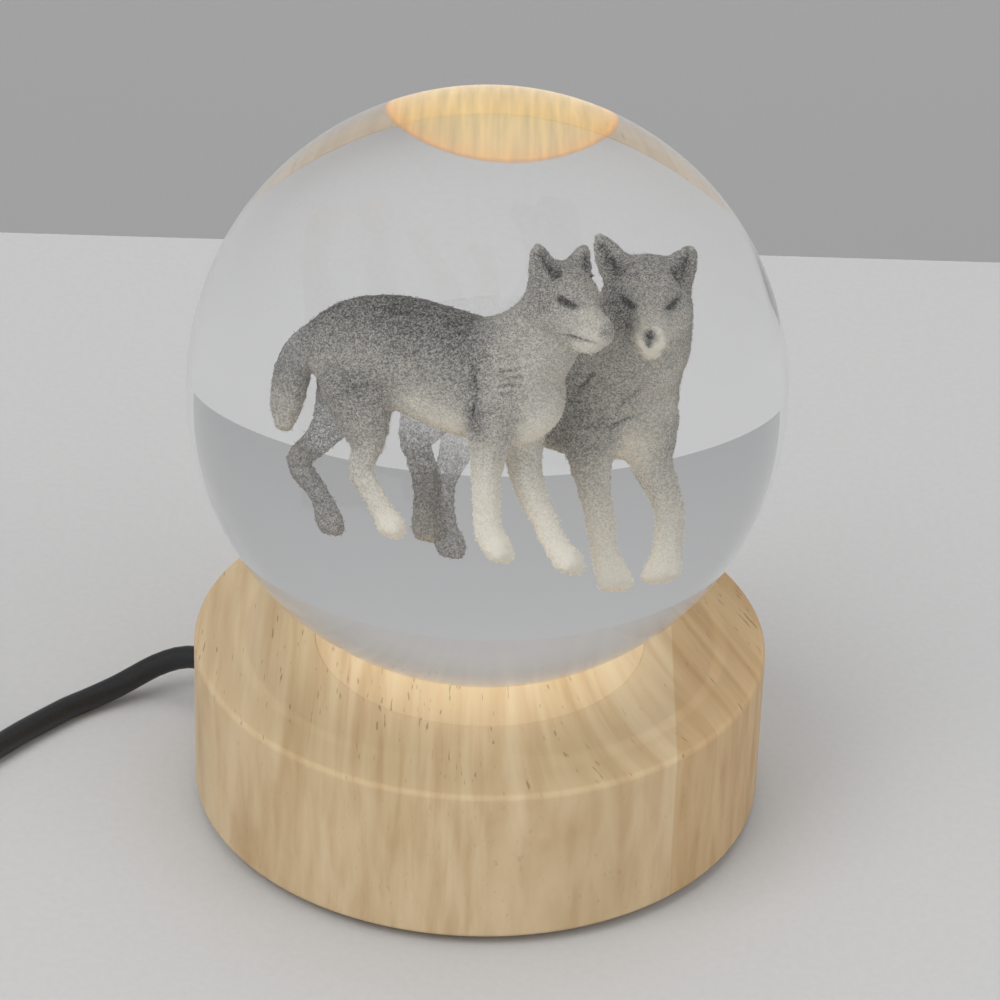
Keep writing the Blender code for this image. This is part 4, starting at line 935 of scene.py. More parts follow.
# A head, in its own frame: ahead, to its side, up, radius, tone. What has a side is made on both.
HEAD = {
    "skull": ((-50, 0, -20, 78, 440), (0, 0, 0, 84, 460), (45, 0, 0, 60, 500)),
    "crown": ((-30, 0, 12, 70, 440), (-30, 40, 14, 56, 440)),
    "muzzle": ((60, 0, -45, 62, 520), (100, 0, -72, 54, 560), (160, 0, -90, 44, 660)),
    "nose": ((184, 0, -80, 26, 520), (192, 0, -88, 22, 420)),
    "jaw": ((40, 0, -120, 42, 560), (100, 0, -142, 31, 720), (145, 0, -142, 24, 800)),
    "lip": ((90, 34, -108, 24, 620), (135, 26, -112, 21, 760), (178, 14, -112, 20, 860)),
    "brow": ((45, 52, 12, 24, 480), (82, 28, 2, 20, 500)),
    "cheek": ((-45, 55, -60, 58, 460), (10, 55, -70, 58, 540), (50, 35, -90, 45, 560)),
    "ear": ((-38, 58, 35, 48, 400), (-42, 76, 80, 41, 440), (-46, 90, 118, 27, 500), (-47, 95, 134, 17, 540)),
}
# Each head's place in shares (right, near, up), turn and roll in degrees, and its ears' lift and distance out
NEAR_HEAD = ((0.428, 0.155, 0.257), 41, -8, ((0.86, 1.15), (1.0, 1.0)))
FAR_HEAD = ((0.130, 0.10, 0.256), 78, -1.5, ((0.77, 1.25), (0.94, 1.45)))
# Grooves in a head, in shares: points (ahead, to its side, up), width, depth and change of tone. The eyes,
# lips and nostrils are dark of themselves; the darker tone in the ears' hollows and the groove between the
# eyes is painted shade.
HEAD_GROOVES = (
    (((0.052, 0.070, -0.012), (0.070, 0.060, -0.022), (0.090, 0.044, -0.028)), 0.0115, 0.014, -0.85),
    (((0.180, 0.026, -0.128), (0.135, 0.044, -0.131), (0.080, 0.056, -0.122)), 0.0070, 0.012, -0.40),
    (((0.206, 0.011, -0.088), (0.203, 0.017, -0.099)), 0.0085, 0.012, -0.50),
    (((0.004, 0.066, 0.062), (-0.006, 0.080, 0.090), (-0.020, 0.090, 0.114)), 0.022, 0.026, -0.30),
    (((0.10, 0.0, -0.030), (0.06, 0.0, 0.02)), 0.012, 0.004, -0.06),
)
# Creases in the coat that faces the viewer, sunk and darkened with painted shade: right and up of both ends
NEAR_CREASES = (
    ((235, 12), (285, 18)), ((245, -12), (300, -4)), ((235, -34), (295, -30)), ((240, -58), (280, -52)),
    ((150, 20), (165, -50)), ((160, -70), (150, -140)),
)
FAR_CREASES = (
    ((60, -50), (100, -20)), ((20, -120), (90, -90)), ((-60, -20), (-20, 30)),
)
# Patches on the side that faces the viewer: right, up, reach and change of tone. Some are painted shade, such
# as the shaded left of the far wolf's face and the dark band behind the near wolf's shoulder; the others are
# the coat's and the muzzle's own tones.
NEAR_TONE_AND_SHADE = (
    (-57, 146, 100, -80), (124, 113, 80, -120), (157, 40, 40, -100), (153, -40, 35, -140),
    (157, -120, 35, -200), (161, -170, 30, -180), (42, -145, 55, 150), (107, -165, 40, 150),
    (-24, -105, 40, 100), (-180, 32, 90, 50), (-200, -57, 60, -100), (-98, -73, 50, -80),
    (329, -185, 60, 100), (370, -40, 80, 50), (362, 227, 30, -140), (485, 219, 40, 60),
)
FAR_TONE_AND_SHADE = (
    (33, 229, 50, -200), (85, 175, 40, -240), (132, 166, 14, 220), (134, 145, 14, 300), (146, 128, 14, 340),
    (164, 122, 14, 360), (183, 128, 14, 340), (196, 143, 14, 320), (200, 163, 14, 260), (194, 183, 13, 200),
    (180, 196, 13, 160), (150, 194, 13, 140), (166, 176, 13, -550), (163, 145, 11, -450), (225, 165, 50, 80),
    (70, -213, 60, 260), (130, -170, 40, 120), (200, 20, 90, 100), (170, -80, 80, 80), (-78, -53, 60, -100),
    (-130, -154, 60, -160),
)

# How a figure is made of them, in shares of its length
LIMB_STEP = 0.035
FIGURE_GRID = 0.0068
BLEND = 0.010  # how far limbs melt into each other
FUR_HEIGHT = 0.0035
EAR_ROOT = 0.03  # height in the head from which the ears lift
FACE_REACH = 0.16  # the mesh is twice as fine round the face
CREASE = 0.0055  # width and depth of a crease


def station(right, near, up, radius, tone, cover=1000):
    """A station in shares of the figure's length: right, back, up, radius, tone, cover."""
    return tuple(v / 1000 for v in (right, -near, up, radius, tone, cover))


def both_sides(rows):
    """The sides that a part of the head is made on."""
    return (1, -1) if any(row[1] for row in rows) else (1,)


def stations_between(rows, step):
    """Evenly spaced stations of the smooth curve through rows."""
    rows = np.array(rows, float)
    if len(rows) < 2:
        return rows
    rows = np.vstack([2 * rows[0] - rows[1], rows, 2 * rows[-1] - rows[-2]])
    out = []
    for a, b, c, d in zip(rows, rows[1:], rows[2:], rows[3:]):
        count = max(1, math.ceil(np.linalg.norm((c - b)[:3]) / step))
        slope, square, cube = c - a, 2 * a - 5 * b + 4 * c - d, 3 * b - a - 3 * c + d
        for t in (i / count for i in range(count)):
            out.append(b + 0.5 * (slope * t + square * t**2 + cube * t**3))
    out.append(rows[-2])
    return np.array(out)


def nearest_on(points, line):
    """Each point's distance to a line of stations, less their radius, with the nearest spot's values."""
    best = np.full(len(points), 1e9)
    values = np.zeros((len(points), line.shape[1]))
    for a, b in zip(line, line[1:]):
        way = b[:3] - a[:3]
        t = np.clip((points - a[:3]) @ way / max(way @ way, 1e-12), 0, 1)
        spot = a + t[:, None] * (b - a)
        gap = np.linalg.norm(points - spot[:, :3], axis=1) - spot[:, 3]
        nearer = gap < best
        best[nearer] = gap[nearer]
        values[nearer] = spot[nearer]
    return best, values


def fading(distance, reach):
    return np.exp(-((distance / reach) ** 2))


def points_of(shape):
    shape.normal_update()
    return np.array([v.co[:] for v in shape.verts]), np.array([v.normal[:] for v in shape.verts])


def move_points(shape, points):
    for v, p in zip(shape.verts, points):
        v.co = p


class Figure:
    """A wolf as rounded limbs that melt into each other. Its space is right, back, up."""

    def __init__(self, limbs, paws, head, creases, tone_and_shade):
        self.lines = []
        for slim, shade, rows in limbs:
            self.add([station(*row) for row in rows], slim, shade)
        for (ahead_right, ahead_near), row in paws:
            self.paw(Vector((ahead_right, -ahead_near, 0)).normalized(), *station(*row))
        (right, near, up), turn, roll, self.ears = head
        self.head_at = Vector((right, -near, up))
        turned = Matrix.Rotation(-math.radians(turn), 3, "Z")
        self.head_axes = turned @ Matrix.Rotation(math.radians(roll), 3, "X")
        for name, rows in HEAD.items():
            for side in both_sides(rows):
                line = []
                for ahead, out, up, radius, tone in ([v / 1000 for v in row] for row in rows):
                    line.append((*self.head_point(ahead, out * side, up), radius, tone, 1))
                self.add(line, 1.0, -0.05 if name == "skull" else 0.0)
        self.creases = np.array(creases) / 1000
        self.tone_and_shade = np.array(tone_and_shade) / 1000

    def head_point(self, ahead, side, up):
        if up > EAR_ROOT:
            lift, apart = self.ears[side > 0]
            side, up = side * apart, up * lift
        return self.head_at + self.head_axes @ Vector((ahead, -side, up))

    def add(self, rows, slim, shade):
        self.lines.append((stations_between(rows, LIMB_STEP), slim, shade))

    def paw(self, ahead, right, back, up, radius, tone, cover):
        """The ball of a foot and its four toes."""
        spot = Vector((right, back, up))
        across = Vector((-ahead.y, ahead.x, 0))
        for k in range(4):
            side = (k - 1.5) * 0.52
            reach = 0.62 - 0.22 * abs(k - 1.5)
            start = spot + across * radius * side * 0.8
            end = spot + across * radius * side * 1.25 + ahead * radius * reach
            end -= Vector((0, 0, radius * 0.38))
            self.add([(*start, radius * 0.62, tone, cover), (*end, radius * 0.42, tone, cover)], 1.0, 0.0)

    def field(self, points):
        """How far outside the figure each point is, and the marks' tone and cover there."""
        total, tones, covers = np.zeros((3, len(points)))
        for line, slim, shade in self.lines:
            flat = line.copy()
            flat[:, 1] /= slim
            gap, at = nearest_on(points * np.array([1, 1 / slim, 1]), flat)
            weight = np.exp(np.clip(-gap / BLEND, -60, 8))
            height = np.clip((points[:, 2] - at[:, 2]) / np.maximum(at[:, 3], 1e-6), -1, 1)
            total += weight
            tones += weight * (at[:, 4] + shade * height)
            covers += weight * at[:, 5]
        total = np.maximum(total, 1e-26)
        return -BLEND * np.log(total), tones / total, covers / total

    def rough(self):
        """Overlapping balls along the limbs, made one body on a fine grid."""
        shape = bmesh.new()
        for line, slim, _ in self.lines:
            for right, back, up, radius, *_ in stations_between(line[:, :6], FIGURE_GRID * 3):
                spot = Matrix.Translation((right, back, up)) @ Matrix.Diagonal((1, slim, 1, 1))
                radius = max(radius, FIGURE_GRID)
                bmesh.ops.create_icosphere(shape, subdivisions=2, radius=radius, matrix=spot)
        body = shown("rough", mesh_of("rough", shape))
        grid = body.modifiers.new("grid", "REMESH")
        grid.mode = "VOXEL"
        grid.voxel_size = FIGURE_GRID
        made = baked(body)
        bpy.data.objects.remove(body)
        return made

    def shaped(self):
        """The figure's mesh, in shares, with the marks' tone and cover on its points."""
        data = self.rough()
        shape = bmesh.new()
        shape.from_mesh(data)
        middle_of_face = self.head_point(0.07, 0, -0.03)
        face = [f for f in shape.faces if (f.calc_center_median() - middle_of_face).length < FACE_REACH]
        edges = list({e for f in face for e in f.edges})
        bmesh.ops.subdivide_edges(shape, edges=edges, cuts=1, use_grid_fill=True)
        bmesh.ops.triangulate(shape, faces=[f for f in shape.faces if len(f.verts) > 4])
        for turn in range(5):
            if turn in (2, 3):
                bmesh.ops.smooth_vert(
                    shape, verts=shape.verts, factor=0.5, use_axis_x=True, use_axis_y=True, use_axis_z=True,
                )
            points, normals = points_of(shape)
            gap, tones, covers = self.field(points)
            points -= normals * np.clip(gap, -0.02, 0.02)[:, None]
            move_points(shape, points)
        normals = points_of(shape)[1]
        sunk = np.zeros(len(points))
        for way, width, depth, tone in HEAD_GROOVES:
            for side in both_sides(way):
                line = stations_between([(*self.head_point(a, s * side, u), 0) for a, s, u in way], LIMB_STEP)
                near = fading(nearest_on(points, line)[0], width)
                sunk += depth * near
                # The tone darkens in each groove: painted shade in the ears' hollows and the groove between
                # the eyes, and the eyes', lips' and nostrils' own dark elsewhere.
                tones += tone * near
        viewer_side = np.clip(-normals[:, 1] * 2, 0, 1)
        for ends in self.creases:
            line = np.array([(x, 0, z, 0) for x, z in ends])
            near = fading(nearest_on(points * (1, 0, 1), line)[0], CREASE) * viewer_side
            sunk += CREASE * near
            # Painted shade: the coat's tone darkens along each crease.
            tones -= 0.20 * near
        # Patches of tone on the side that faces the viewer: painted shade in some, the coat's and the
        # muzzle's own tones in others.
        for right, up, reach, change in self.tone_and_shade:
            tones += change * fading(np.hypot(points[:, 0] - right, points[:, 2] - up), reach) * viewer_side
        fur = np.array([
            noise.noise(Vector((x * 22, y * 60, z * 60))) + 0.6 * noise.noise(Vector((x, y, z)) * 140)
            for x, y, z in points
        ])
        move_points(shape, points + normals * (FUR_HEIGHT * fur - sunk)[:, None])
        shape.to_mesh(data)
        shape.free()
        for name, values in (("tone", np.clip(tones, 0.02, 1)), ("cover", np.clip(covers, 0, 1))):
            layer = data.attributes.new(name, "FLOAT", "POINT")
            layer.data.foreach_set("value", values.astype(np.float32))
        return data


def dots_spread(tree, given):
    """Fine dots scattered over a figure, as the engraving does, denser where its marks are."""
    cover = add(tree, "GeometryNodeInputNamedAttribute", Name="cover").outputs["Attribute"]
    density = maths(tree, "MULTIPLY", cover, given["Dots per square metre"])
    points = add(
        tree, "GeometryNodeDistributePointsOnFaces", Mesh=given["Geometry"], Density=density,
        Seed=given["Seed"],
    )
    jitter = add(
        tree, "FunctionNodeRandomValue", data_type="FLOAT_VECTOR", Min=(-1, -1, -1), Max=(1, 1, 1),
        Seed=given["Seed"],
    )
    shift = add(
        tree, "ShaderNodeVectorMath", jitter.outputs["Value"], operation="SCALE", Scale=given["Scatter"],
    )
    moved = add(
        tree, "GeometryNodeSetPosition", Geometry=points.outputs["Points"], Offset=shift.outputs["Vector"],
    )
    dot = add(tree, "GeometryNodeMeshUVSphere", Segments=4, Rings=2, Radius=given["Dot radius"])
    sizes = add(tree, "FunctionNodeRandomValue", data_type="FLOAT")
    sizes.inputs[2].default_value = 0.6
    sizes.inputs[3].default_value = 1.3
    return moved.outputs["Geometry"], dot.outputs["Mesh"], sizes.outputs[1]


class LAMP_OT_wolves(bpy.types.Operator):
    """Engraves the two wolves in the ball"""

    bl_idname = "lamp.wolves"
    bl_label = "Wolves"

    def execute(self, context):
        settings = context.scene.lamp_marks
        lean = Matrix.Rotation(-FIGURE_TILT, 4, "X")
        solid = marks_finish("engraved_coat", settings, 0.0)
        dots = marks_finish("engraved_dots", settings, 0.10)
        tree = instances_group(
            "engraved_dots",
            (("Dots per square metre", "Float", 1.0e7), ("Dot radius", "Float", 0.00006),
             ("Scatter", "Float", 0.00008), ("Seed", "Int", 7)),
            dots_spread,
        )
        for name, seed, place, *wolf in (
            ("near_wolf", 11, NEAR_WOLF_PLACE, NEAR_WOLF, NEAR_PAWS, NEAR_HEAD, NEAR_CREASES, NEAR_TONE_AND_SHADE),
            ("far_wolf", 12, FAR_WOLF_PLACE, FAR_WOLF, FAR_PAWS, FAR_HEAD, FAR_CREASES, FAR_TONE_AND_SHADE),
        ):
            data = Figure(*wolf).shaped()
            spot = Matrix.Translation(BALL_CENTRE + lean.to_3x3() @ Vector(place)) @ lean
            data.transform(spot @ Matrix.Scale(WOLF_LENGTH, 4))
            data.shade_smooth()
            data.name = name + "_coat"
            coat = shown(name + "_coat", data, solid)
            grains = grown(
                name + "_dots", data.copy(), tree, dots, Dots_per_square_metre=settings.density * 1e6,
                Dot_radius=settings.dot / 2, Scatter=settings.scatter, Seed=seed,
            )
            for piece in (coat, grains):
                bound(piece, "ball", "engraved_marks", name)
        return {"FINISHED"}


# The base, in metres from the table and from the axis, as in the solids
REBATE_RADIUS = 0.0098
REBATE_FLOOR = 0.021608
RECESS_DEPTH = 0.0002
LEDGE = 0.0175
WELL_RADIUS = 0.0074
DIFFUSER_BORE = 0.0096
POCKET_TOP = 0.0145
POCKET_RADIUS = 0.0260
COVER_LEDGE = 0.0037
COVER_RECESS = 0.0333
CORD_AZIMUTH = math.radians(155)
CORD_HEIGHT = 0.0066
CORD_HOLE = 0.00195
GROMMET_HOLE = 0.0031
GROMMET_SEAT = 0.0336
SCREW_HOLE = 0.0012
BOARD_SCREW_CIRCLE = 0.0128
BOARD_SCREW_DEPTH = 0.0055
COVER_SCREW_DEPTH = 0.0109


class LAMP_OT_base(bpy.types.Operator):
    """Turns the wooden base, with its well, its pocket and the holes in it"""

    bl_idname = "lamp.base"
    bl_label = "Wooden base"

    def execute(self, context):
        settings = context.scene.lamp_wood
        inset = WOOD_RADIUS - settings.edge
        top, bottom = WOOD_HIGH.z, WOOD_LOW.z
        profile = [
            (REBATE_RADIUS, top - RECESS_DEPTH),
            (settings.recess, top - RECESS_DEPTH),
            *arc((settings.recess + 2 * RECESS_DEPTH, top - RECESS_DEPTH), RECESS_DEPTH, math.pi, QUARTER, 4),
            *arc((inset, top - settings.edge), settings.edge, QUARTER, 0, 8),
            *arc((inset, bottom + settings.edge), settings.edge, 0, -QUARTER, 8),
            (COVER_RECESS, bottom), (COVER_RECESS, COVER_LEDGE),
            (POCKET_RADIUS, COVER_LEDGE), (POCKET_RADIUS, POCKET_TOP),
            (DIFFUSER_BORE, POCKET_TOP), (DIFFUSER_BORE, LEDGE),
            (WELL_RADIUS, LEDGE), (WELL_RADIUS, REBATE_FLOOR), (REBATE_RADIUS, REBATE_FLOOR),
        ]
        base = spin_profile("turned_base", profile, wood_finish(settings), sides=192, closed=True)
        ahead = polar(1, CORD_AZIMUTH)
        rise = Vector((0, 0, CORD_HEIGHT))
        holes = []
        for start, end, radius in (
            (POCKET_RADIUS - 0.002, GROMMET_SEAT, CORD_HOLE),
            (GROMMET_SEAT - GAP, WOOD_RADIUS + 0.002, GROMMET_HOLE),
        ):
            holes.append((bar_between, ahead * start + rise, ahead * end + rise, radius, 32))
        for k in range(3):
            for circle, start, low, high in (
                (BOARD_SCREW_CIRCLE, CORD_AZIMUTH + math.pi / 3, POCKET_TOP, POCKET_TOP + BOARD_SCREW_DEPTH),
                ((POCKET_RADIUS + COVER_RECESS) / 2, QUARTER, COVER_LEDGE, COVER_SCREW_DEPTH),
            ):
                angle = start + math.tau * k / 3
                ends = [polar(circle, angle, height) for height in (low - 0.001, high)]
                holes.append((bar_between, *ends, SCREW_HOLE, 12))
        carved(base, *holes)
        bound(base, "base", "pale_wood", "wooden_base")
        return {"FINISHED"}


class LAMP_OT_light(bpy.types.Operator):
    """Makes the lit window under the ball and the soft ring that the ball rests on"""

    bl_idname = "lamp.light"
    bl_label = "Light and seat"

    def execute(self, context):
        settings = context.scene.lamp_light
        low, high, _ = box_about("well_diffuser")
        radius = (high.x - low.x) / 2
        edge = settings.edge
        profile = [
            (0, high.z),
            (radius - edge * 2, high.z),
            *arc((radius - edge, high.z - edge), edge, QUARTER, 0, 4),
            *arc((radius - edge, low.z + edge), edge, 0, -QUARTER, 4),
            (radius * 0.72, low.z),
            (radius * 0.66, low.z + edge),
            (0, low.z + edge),
        ]
        glow = (settings.strength, settings.warm)
        finish = worn("lit_window", settings.window, 0.45, spread=0.03, glow=glow)
        window = spin_profile("lit_window", profile, finish, sides=96)
        bound(window, "base", "frosted_plastic", "well_diffuser")
        low, high, _ = box_about("seat_ring")
        wire = (high.z - low.z) / 2
        circle = (high.x - low.x) / 2 - wire
        profile = arc((circle, (low.z + high.z) / 2), wire, 0, -math.tau, 24)[:-1]
        finish = worn("clear_silicone", settings.ring, 0.35, spread=0.04, grit=0.1)
        ring = spin_profile("soft_seat_ring", profile, finish, sides=128, closed=True)
        bound(ring, "seat_ring", "clear_silicone", "seat_ring")
        return {"FINISHED"}


def ribs_spread(tree, given):
    """Rounded ribs lined up along X."""
    step = add(tree, "ShaderNodeCombineXYZ", given["Spacing"]).outputs["Vector"]
    row = add(tree, "GeometryNodeMeshLine", Count=given["Count"], Offset=step)
    rib = add(tree, "GeometryNodeMeshUVSphere", Segments=16, Rings=10, Radius=1.0)
    size = add(tree, "ShaderNodeCombineXYZ", given["Rib radius"], given["Rib length"], given["Rib radius"])
    return row.outputs["Mesh"], rib.outputs["Mesh"], size.outputs["Vector"]


def rib_rows(names, finish, count, spacing, radius, reach):
    """Rows of ribs as plain mesh pieces, centred on the origin."""
    tree = instances_group(
        "grip_ribs",
        (("Count", "Int", 6), ("Spacing", "Float", 0.0015), ("Rib radius", "Float", 0.00035),
         ("Rib length", "Float", 0.004)),
        ribs_spread, smooth=True,
    )
    for name in names:
        row = grown(
            name, bpy.data.meshes.new("start"), tree, finish, Count=count, Spacing=spacing, Rib_radius=radius,
            Rib_length=reach,
        )
        yield placed(row, (-(count - 1) * spacing / 2, 0, 0))


# The switch, in metres from its own middle, as in the solids
SWITCH_ROUND = 0.0032
SWITCH_WALL = 0.0012
SWITCH_CAVITY = 0.0200
SWITCH_SCREWS = ((0.0132, 0.0040), (-0.0132, -0.0040))
SCREW_HOLES = ((-0.001, 0.0014, 0.0016, 20), (0, 0.008, 0.0010, 16))  # from, to, radius, sides
BUTTON_OPENING = (0.0086, 0.0056, 0.006)
BUTTON_FLANGE = 0.0010
BUTTON_RISE = 0.0008
SWITCH_RIBS_AT = 0.0098
RIBS_SUNK = 0.00012
# The plug, along its own axis from where the cord ends
PLUG_HEADING = math.radians(-60)
RELIEF_LENGTH = 0.0060
GRIP_LENGTH = 0.0200
SHELL_SEATED = 0.0050
SHELL_SIZE = (0.0160, 0.0120, 0.0045)
SHELL_WALL = 0.0004
SHELL_WINDOW = 0.0022
SHELL_WINDOW_AT = (0.0098, 0.0028)
PLUG_RIBS_AT = (0.0085, 0.0036)


class LAMP_OT_switch(bpy.types.Operator):
    """Makes the two shells, the ribs and the button of the switch on the cord"""

    bl_idname = "lamp.switch"
    bl_label = "Switch"

    def execute(self, context):
        settings = context.scene.lamp_cord
        low, high, centre = box_about("switch_lower_shell")
        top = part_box("switch_upper_shell")[1].z
        half = (high - low) / 2
        split = top / 2
        centre.z = 0
        finish = worn("switch_plastic", settings.plastic, 0.38, grit=0.35, fine=2600.0)
        stops = eased(-half.x, half.x, SWITCH_ROUND)
        sections = [(x, half.y * (0.62 + 0.38 * s), split * (0.66 + 0.34 * s), split) for x, s in stops]
        inside = (SWITCH_CAVITY, 2 * (half.y - SWITCH_WALL), top - 2 * SWITCH_WALL)
        opening = [(box_of, BUTTON_OPENING, (0, 0, top))]
        screws = []
        for along, across in SWITCH_SCREWS:
            for start, end, radius, sides in SCREW_HOLES:
                screws.append((bar_between, (along, across, start), (along, across, end), radius, sides))
        for name, node, side, holes in (
            ("switch_lower_case", "switch_lower_shell", -1, screws),
            ("switch_upper_case", "switch_upper_shell", 1, opening),
        ):
            shell = lofted(name, finish, sections, squareness=5.0)
            carved(shell, (box_of, (0.05, 0.03, 0.02), (0, 0, split - side * (0.01 - GAP / 2))))
            carved(shell, (box_of, inside, (0, 0, split)))
            carved(shell, (bar_between, (-0.02, 0, split), (0.02, 0, split), CORD_HOLE))
            carved(shell, *holes)
            bound(placed(shell, centre), "base", "black_plastic", node)
        self.button(centre, finish)
        names = ("switch_ribs_near_base", "switch_ribs_near_plug")
        rows = rib_rows(names, finish, count=5, spacing=0.0013, radius=0.00034, reach=0.0042)
        for row, along in zip(rows, (SWITCH_RIBS_AT, -SWITCH_RIBS_AT)):
            bound(placed(row, centre + Vector((along, 0, top - RIBS_SUNK))), "base", "black_plastic")
        return {"FINISHED"}

    def button(self, centre, finish):
        low, high, _ = box_about("switch_button")
        half = (high - low) / 2
        shape = bmesh.new()
        turns = [tuple(squared(math.tau * k / 48, 0.42)) for k in range(48)]
        wide = half.x - BUTTON_FLANGE
        deep = half.y - BUTTON_FLANGE
        closed_rings(shape, [[(c * wide * scale, s * deep * scale, z) for c, s in turns] for scale, z in (
            (1.0, low.z + BUTTON_RISE), (1.0, high.z - 0.0006), (0.95, high.z - 0.0002), (0.86, high.z),
            (0.5, high.z - 0.0004),
        )])
        box_of(shape, (2 * half.x, 2 * half.y, BUTTON_RISE), (0, 0, low.z + BUTTON_RISE / 2))
        bmesh.ops.recalc_face_normals(shape, faces=shape.faces)
        button = placed(piece_from("pressed_button", shape, finish), centre)
        bound(button, "button", "black_plastic", "switch_button")


class LAMP_OT_plug(bpy.types.Operator):
    """Makes the plug: its moulded grip, the ribs on it and the folded metal shell"""

    bl_idname = "lamp.plug"
    bl_label = "Plug"

    def execute(self, context):
        settings = context.scene.lamp_cord
        start = Vector(in_metres(CORD_TAIL_ROUTE)[-1]) + polar(GAP, PLUG_HEADING)
        plastic = worn("plug_plastic", settings.plastic, 0.4, grit=0.3, fine=2600.0)
        steel = worn("shell_steel", (0.66, 0.66, 0.67), 0.22, metallic=1.0, spread=0.05, grit=0.05)
        sections = [(0, 0.0022, 0.0022, 0)]
        for i in range(1, 7):
            neck = (0.0026 if i % 2 else 0.0022) + 0.0004 * i / 6
            sections.append((RELIEF_LENGTH * i / 7, neck, neck, 0))
        grip_end = RELIEF_LENGTH + GRIP_LENGTH
        for x, s in eased(RELIEF_LENGTH, grip_end, 0.0018):
            sections.append((x, 0.0035 + 0.0040 * s, 0.0030 + 0.0008 * s, 0))
        body = lofted("plug_grip_body", plastic, sections, squareness=3.4)
        seat = grip_end - SHELL_SEATED
        pocket = SHELL_SEATED + 0.002 + GAP
        carved(body, (box_of, (pocket, 0.0126, 0.0051), (seat - GAP + pocket / 2, 0, 0)))
        bound(placed(body, start, PLUG_HEADING), "base", "black_plastic", "plug_grip")
        shell = self.shell(seat, steel)
        bound(placed(shell, start, PLUG_HEADING), "base", "zinc_steel", "plug_shell")
        names = ("plug_ribs_upper", "plug_ribs_lower")
        rows = rib_rows(names, plastic, count=7, spacing=0.0015, radius=0.0004, reach=0.0048)
        along, up = PLUG_RIBS_AT
        for row, side in zip(rows, (1, -1)):
            placed(row, (RELIEF_LENGTH + along, 0, side * up))
            bound(placed(row, start, PLUG_HEADING), "base", "black_plastic")
        return {"FINISHED"}

    def shell(self, seat, steel):
        """A folded tube with two windows on each face."""
        long, width, height = SHELL_SIZE
        along, across = SHELL_WINDOW_AT
        sections = [(seat + x, width / 2 - inset, height / 2 - inset, 0) for x, inset in (
            (0, 0), (long - 0.0006, 0), (long - 0.0002, 0.0001), (long, 0.0002),
        )]
        shell = lofted("plug_shell_body", steel, sections, squareness=9.0, sides=80)
        inside = (long + 0.002, width - 2 * SHELL_WALL, height - 2 * SHELL_WALL)
        carved(shell, (box_of, inside, (seat + long / 2, 0, 0)))
        window = (SHELL_WINDOW, SHELL_WINDOW, height + 0.002)
        windows = [(box_of, window, (seat + along, side * across, 0)) for side in (1, -1)]
        carved(shell, *windows, (box_of, (long * 1.2, 0.00012, 0.002), (seat + long / 2, 0, -height / 2)))
        return shell


class LAMP_OT_cord_entry(bpy.types.Operator):
    """Makes the rubber grommet where the cord enters the base"""

    bl_idname = "lamp.cord_entry"
    bl_label = "Cord entry"

    def execute(self, context):
        settings = context.scene.lamp_cord
        rubber = worn("grommet_rubber", settings.rubber, 0.62, grit=0.4)
        back = WOOD_RADIUS + GAP
        face = back + 0.0012
        flange, body, edge = 0.0037, 0.0028, 0.0004
        profile = [
            (CORD_HOLE, GROMMET_SEAT + GAP), (CORD_HOLE, face - edge / 2), (CORD_HOLE + edge / 2, face),
            (0.0026, face), (0.0027, face - 0.0002), (0.0029, face - 0.0002), (0.0030, face),
            *arc((flange - edge, face - edge), edge, QUARTER, 0, 5),
            *arc((flange - edge / 2, back + edge / 2), edge / 2, 0, -QUARTER, 3),
            (body, back), (body, WOOD_RADIUS - 0.0016), (body - 0.0002, WOOD_RADIUS - 0.0018),
            (body - 0.0002, WOOD_RADIUS - 0.0026), (body, WOOD_RADIUS - 0.0028), (body, GROMMET_SEAT + GAP),
        ]
        grommet = spin_profile(
            "cord_bushing", profile, rubber, sides=64, closed=True, centre=(0, 0, CORD_HEIGHT),
            axis=polar(1, CORD_AZIMUTH),
        )
        bound(grommet, "base", "black_rubber", "cord_grommet")
        return {"FINISHED"}


# Finishes of the solids that show as they are: start of the names, then the finish's values
KEPT = (
    (("black_wire",), "wire_black", (0.015, 0.015, 0.016), 0.4, {}),
    (("red_wire",), "wire_red", (0.52, 0.025, 0.02), 0.4, {}),
    (("cord_tail",), "inner_cord", (0.012, 0.012, 0.013), 0.42, {}),
    (("board_screw", "cover_screw", "switch_screw"), "zinc_plate", (0.66, 0.66, 0.68), 0.28,
     {"metallic": 1.0}),
    (("leaf_spring",), "spring_steel", (0.70, 0.70, 0.71), 0.2, {"metallic": 1.0, "spread": 0.05}),
    (("contact_strip", "plug_contact"), "bright_brass", (0.82, 0.62, 0.26), 0.25, {"metallic": 1.0}),
    (("bottom_cover",), "cover_plastic", (0.022, 0.022, 0.024), 0.5, {"grit": 0.5, "fine": 1800.0}),
    (("foot_",), "foot_rubber", (0.03, 0.03, 0.032), 0.75, {"grit": 0.5, "fine": 2200.0}),
    (("coil_tie",), "tie_plastic", (0.018, 0.018, 0.02), 0.45, {}),
    (("cable_tie",), "tie_nylon", (0.80, 0.79, 0.74), 0.42, {"spread": 0.05}),
    (("plug_tongue",), "tongue_plastic", (0.86, 0.86, 0.84), 0.4, {"spread": 0.03}),
    (("light_board",), "board_mask", (0.82, 0.83, 0.81), 0.3, {"spread": 0.04, "coat": 0.3}),
    (("resistor_",), "resistor_body", (0.03, 0.03, 0.034), 0.35, {}),
    (("led_",), "lit_phosphor", (0.95, 0.80, 0.30), 0.35, {"spread": 0.04, "glow": (2.0, (1.0, 0.80, 0.45))}),
)


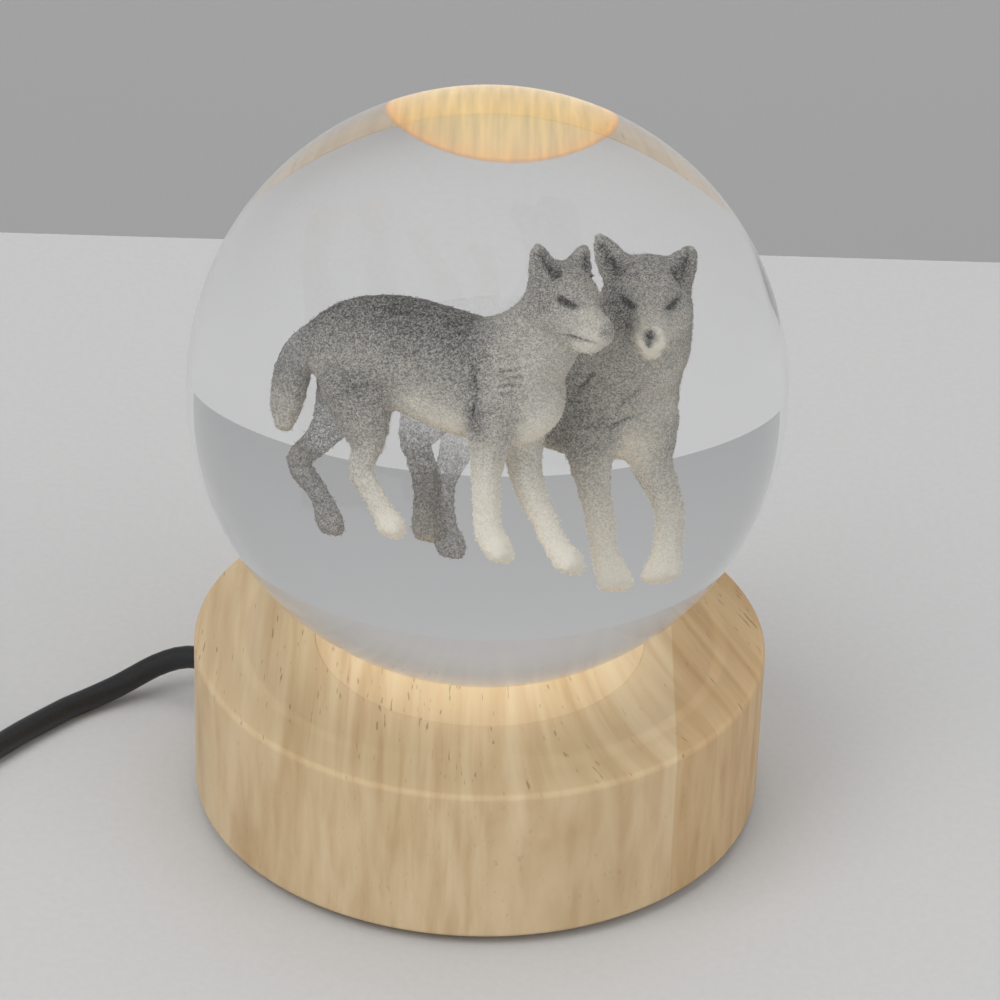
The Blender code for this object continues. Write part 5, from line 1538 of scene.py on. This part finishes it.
class LAMP_OT_finishes(bpy.types.Operator):
    """Gives the small parts that keep their own shape their finishes"""

    bl_idname = "lamp.finishes"
    bl_label = "Small parts' finishes"

    def execute(self, context):
        for starts, name, shade, roughness, values in KEPT:
            finish = worn(name, shade, roughness, **values)
            for node, thing in frame["nodes"].items():
                if node.startswith(starts):
                    for slot in thing.material_slots:
                        slot.material = finish
                    thing.data.shade_smooth()
                    thing.data.set_sharp_from_angle(angle=SHARP)
        # The photo's ball mirrors none of what lies on the table
        for thing in context.scene.objects:
            if thing.name.startswith((*ON_LAMP_CORD, *ON_PLUG_CORD, "lamp_cord", "plug_cord")):
                thing.visible_glossy = False
        return {"FINISHED"}


class LAMP_PT_panel(bpy.types.Panel):
    """Lists the lamp's pieces in the order in which they are made"""

    bl_idname = "LAMP_PT_panel"
    bl_label = "Glass Ball Lamp"
    bl_space_type = "VIEW_3D"
    bl_region_type = "UI"
    bl_category = "Lamp"

    def draw(self, context):
        for kind in OPERATORS:
            self.layout.operator(kind.bl_idname)
        for name, kind in GROUPS.items():
            box = self.layout.box()
            box.label(text=kind.bl_rna.name)
            for key in kind.__annotations__:
                box.prop(getattr(context.scene, name), key)


OPERATORS = (
    LAMP_OT_stage, LAMP_OT_ball, LAMP_OT_wolves, LAMP_OT_base, LAMP_OT_light, LAMP_OT_cord_entry,
    LAMP_OT_switch, LAMP_OT_plug, LAMP_OT_cords, LAMP_OT_finishes,
)
GROUPS = {
    "lamp_stage": StageSettings, "lamp_glass": GlassSettings, "lamp_wood": WoodSettings,
    "lamp_marks": MarksSettings, "lamp_light": LightSettings, "lamp_cord": CordSettings,
}
CLASSES = (*GROUPS.values(), *OPERATORS, LAMP_PT_panel)


def register():
    for kind in CLASSES:
        bpy.utils.register_class(kind)
    for name, kind in GROUPS.items():
        setattr(bpy.types.Scene, name, PointerProperty(type=kind))


def unregister():
    for name in GROUPS:
        delattr(bpy.types.Scene, name)
    for kind in reversed(CLASSES):
        bpy.utils.unregister_class(kind)


def main():
    register()
    bpy.ops.lamp.stage()
    bpy.ops.lamp.ball()
    bpy.ops.lamp.wolves()
    bpy.ops.lamp.base()
    bpy.ops.lamp.light()
    bpy.ops.lamp.cord_entry()
    bpy.ops.lamp.switch()
    bpy.ops.lamp.plug()
    bpy.ops.lamp.cords()
    bpy.ops.lamp.finishes()


if __name__ == "__main__":
    main()
